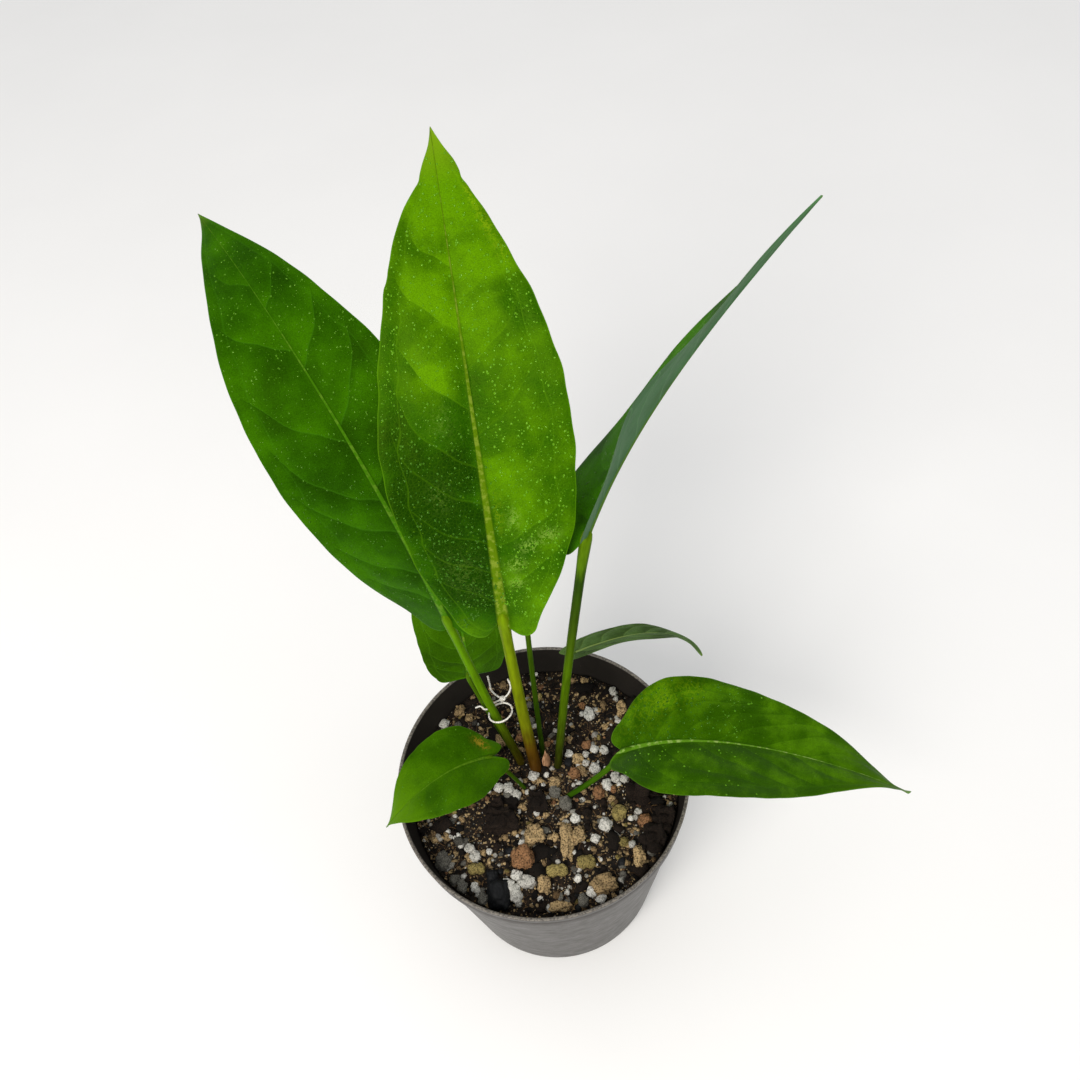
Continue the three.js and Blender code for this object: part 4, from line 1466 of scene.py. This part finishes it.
@dataclass
class ThreadTie:
    """A twisted thread in a loose ring round a stalk, with a knot and three tails."""

    leaf: Leaf
    height: float = 119.0
    ring_radius: float = 5.0
    ring_shift: float = 2.5
    plies: int = 3
    ply_radius: float = 0.21
    ply_shift: float = 0.2
    lay: float = 3.2
    knot: Point = (1.6, 5.4, 1.8)
    tails: tuple[tuple[Point, ...], ...] = (
        ((-2.6, 5.0, 1.0), (-6.4, 3.8, -0.2), (-8.0, 4.6, 1.6), (-10.6, 5, 1)),
        ((-0.4, 6.0, 4.4), (-1.4, 6.8, 7), (-1.0, 7.6, 10.5), (-0.5, 8.2, 14.2)),
        ((4.4, 6.0, 3.0), (6.6, 6.8, 6), (6.8, 7.4, 10.4)),
    )

    def place(self, points: Array) -> Array:
        """Turn places measured from the ring into places of the plant."""
        samples = self.leaf.stalk_samples()
        nearest = samples[np.argmin(np.abs(samples[:, 2] - self.height))]
        up = np.array(self.leaf.base) - np.array([*self.leaf.foot, MIX_TOP])
        level = Vector((0, 0, 1)).rotation_difference(Vector(up)).to_matrix()
        return points @ np.array(level).T + nearest + np.array([self.ring_shift, 0, 0])

    def twisted(self, line: Array, shape: bmesh.types.BMesh) -> None:
        """Lay the plies round a line and add them to the shape."""
        length = length_of(line)
        rows = max(int(length * 2.4), 12)
        share = np.linspace(0, 1, rows * 2)
        points, along = spaced(line, share)
        for ply in range(self.plies):
            turn = 2 * np.pi * (share * length / self.lay + ply / self.plies)
            path = points + self.ply_shift * circle_about(along, turn)
            strand = tube(path, rows, sides=6, radius=lambda s: np.full_like(s, self.ply_radius))
            mesh = to_mesh("strand", strand)
            shape.from_mesh(mesh)
            bpy.data.meshes.remove(mesh)

    def build(self) -> bpy.types.Object:
        """Make the ring, the knot's turns and the tails."""
        shape = bmesh.new()
        turn = np.linspace(0, 2 * np.pi, 12, endpoint=False)
        circle = self.ring_radius * np.stack([np.cos(turn), np.sin(turn), 0 * turn], axis=1)
        ring = curve_through(self.place(circle), closed=True)
        lines = [np.vstack([ring, ring[:1]])]
        for tail in self.tails:
            lines.append(curve_through(self.place(np.array([self.knot, *tail]))))
        loops = np.linspace(0, 4.5 * np.pi, 40)
        level = np.stack([np.cos(loops), np.sin(loops), 0.35 * np.sin(1.7 * loops)], axis=1)
        upright = 0.9 * np.stack([0.4 * np.sin(1.3 * loops), np.cos(loops), np.sin(loops)], axis=1)
        lines += [self.place(np.array(self.knot) + bend) for bend in (level, upright)]
        for line in lines:
            self.twisted(line, shape)
        return make_piece("thread_twist", shape, [CottonFinish().build()], ("thread_tie",))


@dataclass
class ScaleLeaf:
    """A dry papery scale standing beside the stalks, cupped and narrowing to its tip."""

    foot: tuple[float, float] = (2.2, 8.2)
    height: float = 14.0
    root: float = 5.0
    half_width: float = 1.9
    turn: float = 0.5
    thick: float = 0.3

    def place(self, u: Array, v: Array) -> Array:
        """Point of the skin at each grid place."""
        across, face = two_sided(v)
        ends = (u == 0) | (u == 1)
        width = self.half_width * (0.7 + 0.35 * np.sin(np.pi * u)) * (1 - ease(0.55, 1.0, u) * 0.97)
        x = np.where(ends, 0, across * width)
        y = 0.28 * across**2 * width - 0.1 * np.sin(6 * u + across)
        y = y - np.where(ends, 0, face) * self.thick / 2
        z = -self.root + (self.height + self.root) * u + 0.3 * np.sin(5 * across) * u * (1 - ends)
        cosine, sine = math.cos(self.turn), math.sin(self.turn)
        flat = np.stack([x * cosine - y * sine, x * sine + y * cosine, z], axis=1)
        return flat + np.array([*self.foot, MIX_TOP])

    def build(self) -> bpy.types.Object:
        """Make the scale as one closed cupped skin."""
        skin = wrap_grid(rows=26, columns=24, place=self.place)
        return make_piece("scale_paper", skin, [PaperFinish().build()], ("scale_leaf",))


GREEN = LeafFinish("leaf_skin_centre", tip="#6c8a10", tip_from=146.0, tip_to=166.0)
YOUNG_GREEN = LeafFinish(
    "leaf_skin_young", deep="#183800", shaded="#224600", middle="#2d5400", bright="#3c6600",
    rib="#3a600a", vein="#335c08", margin="#466e10", tip="#568006", painted_glint="#5c7c1c", blemish="#8c7420",
    tip_from=34.0, tip_to=56.0, mist_share=0.25,
)
DARK_GREEN = LeafFinish(
    "leaf_skin_left", deep="#123200", shaded="#193e00", middle="#214b00", bright="#2f5f00", rib="#3a6c08",
    vein="#30620c", margin="#3f7410", tip="#4c6a18", painted_glint="#6c8c2c", below_deep="#2a4c10",
    below="#335a18", roughness=0.5, shine=0.08, tip_from=170.0, tip_to=178.0,
)
SHADED_GREEN = LeafFinish(
    "leaf_skin_low", deep="#1c3c00", shaded="#244700", middle="#2c5200", bright="#366004", rib="#40740c",
    vein="#4d8014", margin="#3f7410", tip="#4c6a18", tip_from=70.0, tip_to=90.0, mist_share=0.3,
)
FRONT_GREEN = LeafFinish(
    "leaf_skin_front", deep="#1a3a00", shaded="#204300", middle="#274c00", bright="#426c04",
    rib="#54801a", vein="#35600a", painted_glint="#b4c878", margin="#5a8420", tip="#3d6204", patch_mm=11.0,
    mist_share=0.25, tip_from=84.0, tip_to=112.0,
)
GREY_GREEN = LeafFinish(
    "leaf_skin_right", deep="#1c4200", shaded="#234f00", middle="#306600", bright="#3c7604",
    rib="#4b7010", vein="#2f6208", margin="#52721e", tip="#2c4420", below="#3c653c", below_vein="#4c7648",
    roughness=0.65, shine=0.08,
)
DULL_GREEN = LeafFinish(
    "leaf_skin_back_right", deep="#22380e", shaded="#2f4719", middle="#486430", bright="#5a7a42",
    rib="#7a9450", vein="#66823e", margin="#6e8a48", tip="#3c5624", roughness=0.65, shine=0.12,
    tip_from=60.0, tip_to=70.0,
)

LEAVES: tuple[Leaf, ...] = (
    Leaf(
        name="centre", foot=(-2.8, 7.6), bow=(-0.4, 0), stalk_radius=(2.6, 1.9), base=(-5, 18, 188.5),
        middle=(-5, 62.5, 260), tip=(-6, 121, 315.5), faces=(-0.06, -0.75, 0.66),
        left=(3, 7.5, 12.5, 18, 24, 29, 32.5, 29.5, 24, 16, 6.5, 2),
        right=(2, 6.5, 11, 15, 22.5, 29, 32, 31, 25, 15, 7.5, 3), fold=(8, 7), lobe=0.8, twist=-2,
        wave=0.9, phase=-80, hook=0.2,
        laterals=(
            (0.035, 0.1, 0.165, 0.25, 0.325, 0.44, 0.596, 0.724, 0.83),
            (0.063, 0.157, 0.27, 0.39, 0.52, 0.65, 0.77, 0.87),
        ),
        climb=0.14, rib_half=1.8, rib_up=0.7, quilt=0.4, grid=(180, 112), finish=GREEN,
        stalk_colours=(
            (0.0, "#3a2408"), (0.14, "#4f320a"), (0.27, "#58400a"), (0.42, "#68700a"), (0.8, "#6a7e06"),
            (1.0, "#607a06"),
        ),
        droplets=Droplets(
            count=2800, seed=21, largest=0.5, left_share=0.52, last=0.95, bias=1.25, painted_light=0.9,
        ),
        show=(0.4, 0.3),
        # Tone spots paint shade on the lower left half and light on lit parts; wet spots paint sheen.
        spots=(
            Spot(0.17, -0.4, 0.17, 0.5, tone=-0.45), Spot(0.37, -0.7, 0.15, 0.45, tone=-0.3),
            Spot(0.33, -0.2, 0.07, 0.25, tone=-0.12), Spot(-0.01, -0.5, 0.06, 0.5, tone=-0.03),
            Spot(0.53, -0.42, 0.09, 0.3, tone=0.3, quilt=1.2),
            Spot(0.7, -0.3, 0.07, 0.35, tone=0.16, quilt=0.5), Spot(0.47, 0.1, 0.1, 0.12, tone=-0.06),
            Spot(0.4, 0.5, 0.05, 0.07, tone=-0.16, quilt=0.5), Spot(0.5, 0.5, 0.1, 0.3, tone=-0.03),
            Spot(0.28, 0.35, 0.12, 0.4, tone=0.05), Spot(0.6, -0.92, 0.3, 0.14, tone=-0.12),
            Spot(0.84, 0.05, 0.14, 1.0, tone=0.18), Spot(0.97, 0.0, 0.05, 1.0, tone=0.2),
            Spot(0.68, 0.45, 0.12, 0.5, tone=0.08), Spot(0.855, 0.9, 0.02, 0.1, yellow=0.5),
            Spot(0.8, 0.86, 0.03, 0.1, yellow=0.45), Spot(0.74, 0.88, 0.02, 0.08, yellow=0.35),
            Spot(0.23, 0.12, 0.04, 0.05, yellow=0.3), Spot(0.13, 0.5, 0.1, 0.3, quilt=0.8),
            Spot(0.431, -0.35, 0.03, 0.12, wet=0.14), Spot(0.278, -0.48, 0.03, 0.12, wet=0.12),
            Spot(0.11, -0.45, 0.05, 0.25, wet=0.12), Spot(0.216, 0.29, 0.02, 0.06, wet=0.6),
            Spot(0.159, 0.47, 0.012, 0.12, wet=0.7), Spot(0.178, 0.69, 0.012, 0.12, wet=0.6),
            Spot(0.12, 0.3, 0.012, 0.12, wet=0.7), Spot(0.08, 0.35, 0.012, 0.12, wet=0.6),
        ),
        ripple=0.2,
        nicks=(
            Nick(1, 0.93, 0.5, 0.02), Nick(1, 0.891, -0.6, 0.01), Nick(-1, 0.93, 0.3, 0.02),
            Nick(-1, 0.896, -0.4, 0.01), Nick(-1, 0.715, -0.5, 0.012),
        ),
    ),
    Leaf(
        name="left", foot=(-9.2, 12.3), bow=(-0.5, 0), stalk_radius=(1.8, 1.7), base=(-27, 32, 172.5),
        middle=(-53, 66.5, 256.5), tip=(-89.5, 129.5, 290), faces=(-0.28, -0.16, 0.95),
        left=(1.5, 5, 10, 15, 22, 26.5, 30, 28.5, 23.5, 15, 8.5, 3),
        right=(2.5, 7, 11.5, 16, 21.5, 26.5, 29, 27.5, 21, 13.5, 6.5, 2.5), fold=(3, -4), lobe=0.9,
        twist=-9, wave=1.1, phase=-40,
        laterals=(
            (0.04, 0.106, 0.205, 0.276, 0.405, 0.616, 0.78),
            (0.05, 0.13, 0.21, 0.303, 0.44, 0.572, 0.72, 0.85),
        ),
        climb=0.15, rib_half=1.15, rib_up=0.55, quilt=0.5, show=(1.0, 1.0), grid=(180, 112),
        finish=DARK_GREEN,
        stalk_colours=(
            (0.0, "#40330a"), (0.14, "#483f0a"), (0.27, "#4b5708"), (0.41, "#486606"), (0.56, "#547a06"),
            (0.82, "#527e06"), (1.0, "#567c08"),
        ),
        droplets=Droplets(count=1700, seed=22, smallest=0.14, largest=0.42, left_share=0.45, last=0.93),
        # Tone spots paint light and shade.
        spots=(
            Spot(0.5, -0.93, 0.5, 0.13, tone=0.1), Spot(0.5, 0.93, 0.5, 0.13, tone=0.08),
            Spot(0.92, 0.0, 0.1, 1.0, tone=0.06), Spot(0.3, 0.5, 0.12, 0.4, tone=-0.08),
            Spot(0.15, -0.6, 0.1, 0.4, tone=0.06),
        ),
    ),
    Leaf(
        name="right", foot=(6.6, 7.7), bow=(-0.8, 0), stalk_radius=(1.6, 1.8), base=(27.5, 29.5, 214),
        middle=(61.5, 69.5, 239), tip=(115, 93, 291), faces=(-0.42, 0.66, 0.63),
        left=(2.5, 6.5, 11, 15.5, 21, 26.5, 27, 24, 19.5, 13.5, 7, 3),
        right=(3, 7, 11.5, 15, 19, 24, 27, 25, 20.5, 13, 6.5, 2.5), fold=(23, 22), lobe=0.9, twist=-9,
        wave=1.1, phase=0,
        laterals=(
            (0.05, 0.12, 0.21, 0.32, 0.44, 0.57, 0.7, 0.83),
            (0.05, 0.13, 0.23, 0.34, 0.46, 0.6, 0.72, 0.84),
        ),
        rib_half=1.3, quilt=0.35, grid=(160, 96), finish=GREY_GREEN,
        stalk_colours=(
            (0.0, "#221f08"), (0.12, "#2b3008"), (0.28, "#3e5406"), (0.5, "#466405"), (0.68, "#344b06"),
            (0.84, "#243e06"), (0.9, "#486806"), (1.0, "#5c7c08"),
        ),
        droplets=Droplets(count=300, seed=23, largest=0.4, left_share=0.5), show=(0.5, 0.5),
    ),
    Leaf(
        name="low_left", foot=(-12, 17), bow=(-0.4, 0), stalk_radius=(0.95, 0.95),
        base=(-24.5, 31, 130.5), middle=(-27, 61, 134.5), tip=(-35, 102, 159), faces=(-0.04, -0.52, 0.86),
        left=(5, 9, 11.5, 13.5, 16, 17.5, 19, 19.5, 17, 10.5, 5.5, 2.5),
        right=(5.5, 10, 13, 14.5, 16, 17, 18, 17.5, 14.5, 9, 4.5, 1.5), fold=(7, 9), lobe=0.4, twist=-2,
        wave=0.9, phase=-40,
        laterals=((0.03, 0.12, 0.24, 0.38, 0.54, 0.7), (0.03, 0.13, 0.26, 0.4, 0.56, 0.72)), climb=0.2,
        rib_half=0.8, rib_up=0.3, rib_down=0.6, quilt=0.35, grid=(110, 72), show=(0.6, 0.6),
        finish=SHADED_GREEN, droplets=Droplets(count=110, seed=25, largest=0.34, last=0.6),
    ),
    Leaf(
        name="front_left", foot=(-8.7, -0.2), bow=(0.2, 0.1), stalk_radius=(0.9, 0.8),
        base=(-19.5, 1.5, 116), middle=(-40.5, -7, 120.5), tip=(-63.5, -17.5, 105.5),
        faces=(-0.27, -0.24, 0.93), left=(1, 3, 7, 10.5, 13, 15.5, 17, 15.5, 12.5, 8, 3.5, 1),
        right=(1, 3.5, 6, 9, 12, 15, 16.5, 15.5, 12.5, 8, 4, 1.5), fold=(11, 12), lobe=2.3, twist=-1,
        wave=1.1, phase=160,
        laterals=((0.03, 0.14, 0.28, 0.43, 0.6, 0.76), (0.03, 0.15, 0.3, 0.46, 0.62, 0.77)), climb=0.2,
        rib_half=0.5, rib_up=0.2, rib_down=0.5, quilt=0.25, grid=(110, 72), show=(0.2, 0.2),
        finish=YOUNG_GREEN, droplets=Droplets(count=130, seed=26, smallest=0.12, largest=0.32, last=0.8),
        # Tone spots paint light; the yellow spot is a blemish.
        spots=(
            Spot(0.05, 0.62, 0.05, 0.16, yellow=1.6), Spot(0.02, 0.85, 0.1, 0.25, tone=0.1),
            Spot(0.9, 0.0, 0.2, 1.0, tone=0.1),
        ),
    ),
    Leaf(
        name="front_right", foot=(10, -6.4), bow=(0.6, -0.8), stalk_radius=(1.1, 1.25),
        base=(34.5, -6, 121.5), middle=(78, -15, 131.5), tip=(137, -36, 118), faces=(0.13, 0.1, 0.98),
        left=(2, 6, 10, 14.5, 20.5, 25, 26.5, 23.5, 18, 12.5, 6, 1.5),
        right=(0.5, 4.5, 9, 13.5, 20, 24, 26, 25.5, 20, 11, 4.5, 2), fold=(20, 12), lobe=1.1, twist=4,
        wave=1.4, phase=-40, hook=1,
        laterals=((0.022, 0.127, 0.25, 0.391, 0.55, 0.7), (0.034, 0.16, 0.313, 0.48, 0.65)), climb=0.4,
        show=(0.5, 0.4), rib_half=0.9, rib_up=0.6, rib_down=0.6, quilt=0.4, grid=(150, 96),
        finish=FRONT_GREEN, stalk_colours=((0.0, "#2a3408"), (0.3, "#2e5206"), (1.0, "#446c0c")),
        # Tone spots paint light on the left half and near the tip.
        spots=(
            Spot(0.12, -0.75, 0.14, 0.4, tone=0.12, yellow=0.2),
            Spot(0.3, -0.78, 0.05, 0.14, tone=0.12, yellow=0.2), Spot(0.36, -0.85, 0.04, 0.12, tone=0.1),
            Spot(0.2, -0.62, 0.04, 0.1, tone=0.24, yellow=0.22), Spot(0.8, 0, 0.2, 1.0, tone=0.12),
        ),
        droplets=Droplets(
            count=520, seed=24, smallest=0.14, largest=0.5, left_share=0.8, last=0.55, painted_light=0.7,
        ),
    ),
    Leaf(
        name="back_right", foot=(9, 15), stalk_radius=(0.9, 0.9), base=(17.5, 28, 141.5),
        middle=(53, 36.5, 136), tip=(71, 29, 126), faces=(0.01, 0.64, 0.76),
        left=(1, 3, 4.5, 6.5, 9, 10, 9.5, 9, 7.5, 5, 2.5, 1),
        right=(1, 2.5, 4, 6, 8, 9, 10, 9.5, 7.5, 4.5, 2.5, 1), fold=(11, 8), twist=10, wave=0.5,
        phase=150, laterals=((0.04, 0.15, 0.28, 0.42, 0.57, 0.72), (0.04, 0.15, 0.28, 0.42, 0.57, 0.72)),
        climb=0.16, rib_half=0.6, rib_up=0.25, rib_down=0.5, quilt=0.35, grid=(100, 64),
        finish=DULL_GREEN,
    ),
    Leaf(
        name="back", foot=(0.8, 13.2), bow=(-0.3, 0), stalk_radius=(1.1, 1.1), base=(3, 41, 184),
        middle=(0, 77, 214), tip=(-4, 112, 239), faces=(0, -0.6, 0.8),
        left=(1, 3.5, 6.5, 10, 13.5, 16.5, 18, 17, 13.5, 8, 4, 1.5),
        right=(1, 3.5, 6.5, 10, 13.5, 16.5, 18, 17, 13.5, 8, 4, 1.5), fold=(10, 10), wave=0.8, phase=60,
        hook=1,
        laterals=((0.04, 0.14, 0.26, 0.4, 0.55, 0.7, 0.83), (0.04, 0.15, 0.27, 0.41, 0.56, 0.71, 0.84)),
        climb=0.16, rib_half=0.8, rib_up=0.3, rib_down=0.6, quilt=0.35, grid=(110, 72),
        finish=replace(DARK_GREEN, name="leaf_skin_back"),
    ),
)


@dataclass
class Studio:
    """Pale floor, soft lights and the camera at the photograph's viewing angle."""

    camera_place: Point = (0.0115, -0.1798, 0.4808)
    pitch: float = 51.78
    roll: float = -7.49
    lens: float = 33.333
    sensor: float = 36.0
    floor_size: float = 3.0
    key_power: float = 16.0
    fill_power: float = 0.8
    world_strength: float = 0.75

    def build_camera(self) -> None:
        """Set the camera with its pitch below the horizon and its roll."""
        p, q = math.radians(self.pitch), math.radians(self.roll)
        forward = Vector((0, math.cos(p), -math.sin(p)))
        level = Vector((1, 0, 0))
        upright = level.cross(forward)
        right = level * math.cos(q) + upright * math.sin(q)
        up = upright * math.cos(q) - level * math.sin(q)
        data = bpy.data.cameras.new("camera")
        data.lens = self.lens
        data.sensor_width = self.sensor
        data.clip_start = 0.01
        turn = Matrix((right, up, -forward)).transposed().to_4x4()
        bpy.context.scene.camera = add_object("camera", data, Matrix.Translation(self.camera_place) @ turn)

    def add_light(
        self, name: str, place: Point, target: Point, size: float, power: float, colour: str
    ) -> None:
        """Add one soft square light.

        Args:
            name: Name of the light.
            place: Where it hangs, in metres.
            target: What it faces.
            size: Length of its side.
            power: Its power in watts.
            colour: Its colour as sRGB hex.
        """
        data = bpy.data.lights.new(name, "AREA")
        data.size = size
        data.energy = power
        data.color = linear(colour)[:3]
        turn = (Vector(target) - Vector(place)).to_track_quat("-Z", "Y").to_matrix().to_4x4()
        add_object(name, data, Matrix.Translation(place) @ turn)

    def build_floor(self) -> None:
        """Lay the pale floor."""
        shape = bmesh.new()
        bmesh.ops.create_grid(shape, x_segments=2, y_segments=2, size=self.floor_size)
        mesh = to_mesh("floor", shape)
        mesh.materials.append(FloorFinish().build())
        floor = add_object("floor", mesh)
        floor.location.z = -0.0002

    def build(self) -> None:
        """Build the camera, the floor, the lights and the surrounding light."""
        self.build_camera()
        self.build_floor()
        self.add_light("key", (-0.55, -0.85, 1.1), (0, 0.03, 0.16), 0.7, self.key_power, "#fffaf2")
        self.add_light("fill", (1.0, -0.3, 0.9), (0, 0, 0.15), 1.0, self.fill_power, "#f4f8ff")
        world = bpy.data.worlds.new("studio")
        world.use_nodes = True
        background = world.node_tree.nodes["Background"]
        background.inputs[0].default_value = linear("#ffffff")
        background.inputs[1].default_value = self.world_strength
        bpy.context.scene.world = world
        bpy.context.scene.view_settings.view_transform = "Standard"


def main() -> None:
    """Build the plant, its pot and the studio, and report each piece."""
    logging.basicConfig(level=logging.INFO, format="%(message)s")
    Studio().build()
    water = WaterFinish().build()
    pieces = []
    for leaf in LEAVES:
        pieces += [leaf.build_blade(), leaf.build_stalk(), leaf.build_droplets(water)]
    bed = MixBed([(*leaf.foot, leaf.stalk_radius[0]) for leaf in LEAVES])
    pieces += [bed.build_mass(), *bed.build_grains(), bed.build_fibres()]
    tie = ThreadTie(next(leaf for leaf in LEAVES if leaf.name == "left"))
    pieces += [NurseryPot().build(), tie.build(), ScaleLeaf().build()]
    for piece in filter(None, pieces):
        LOG.info("%s: %d faces", piece.name, len(piece.data.polygons))


if __name__ == "__main__":
    main()
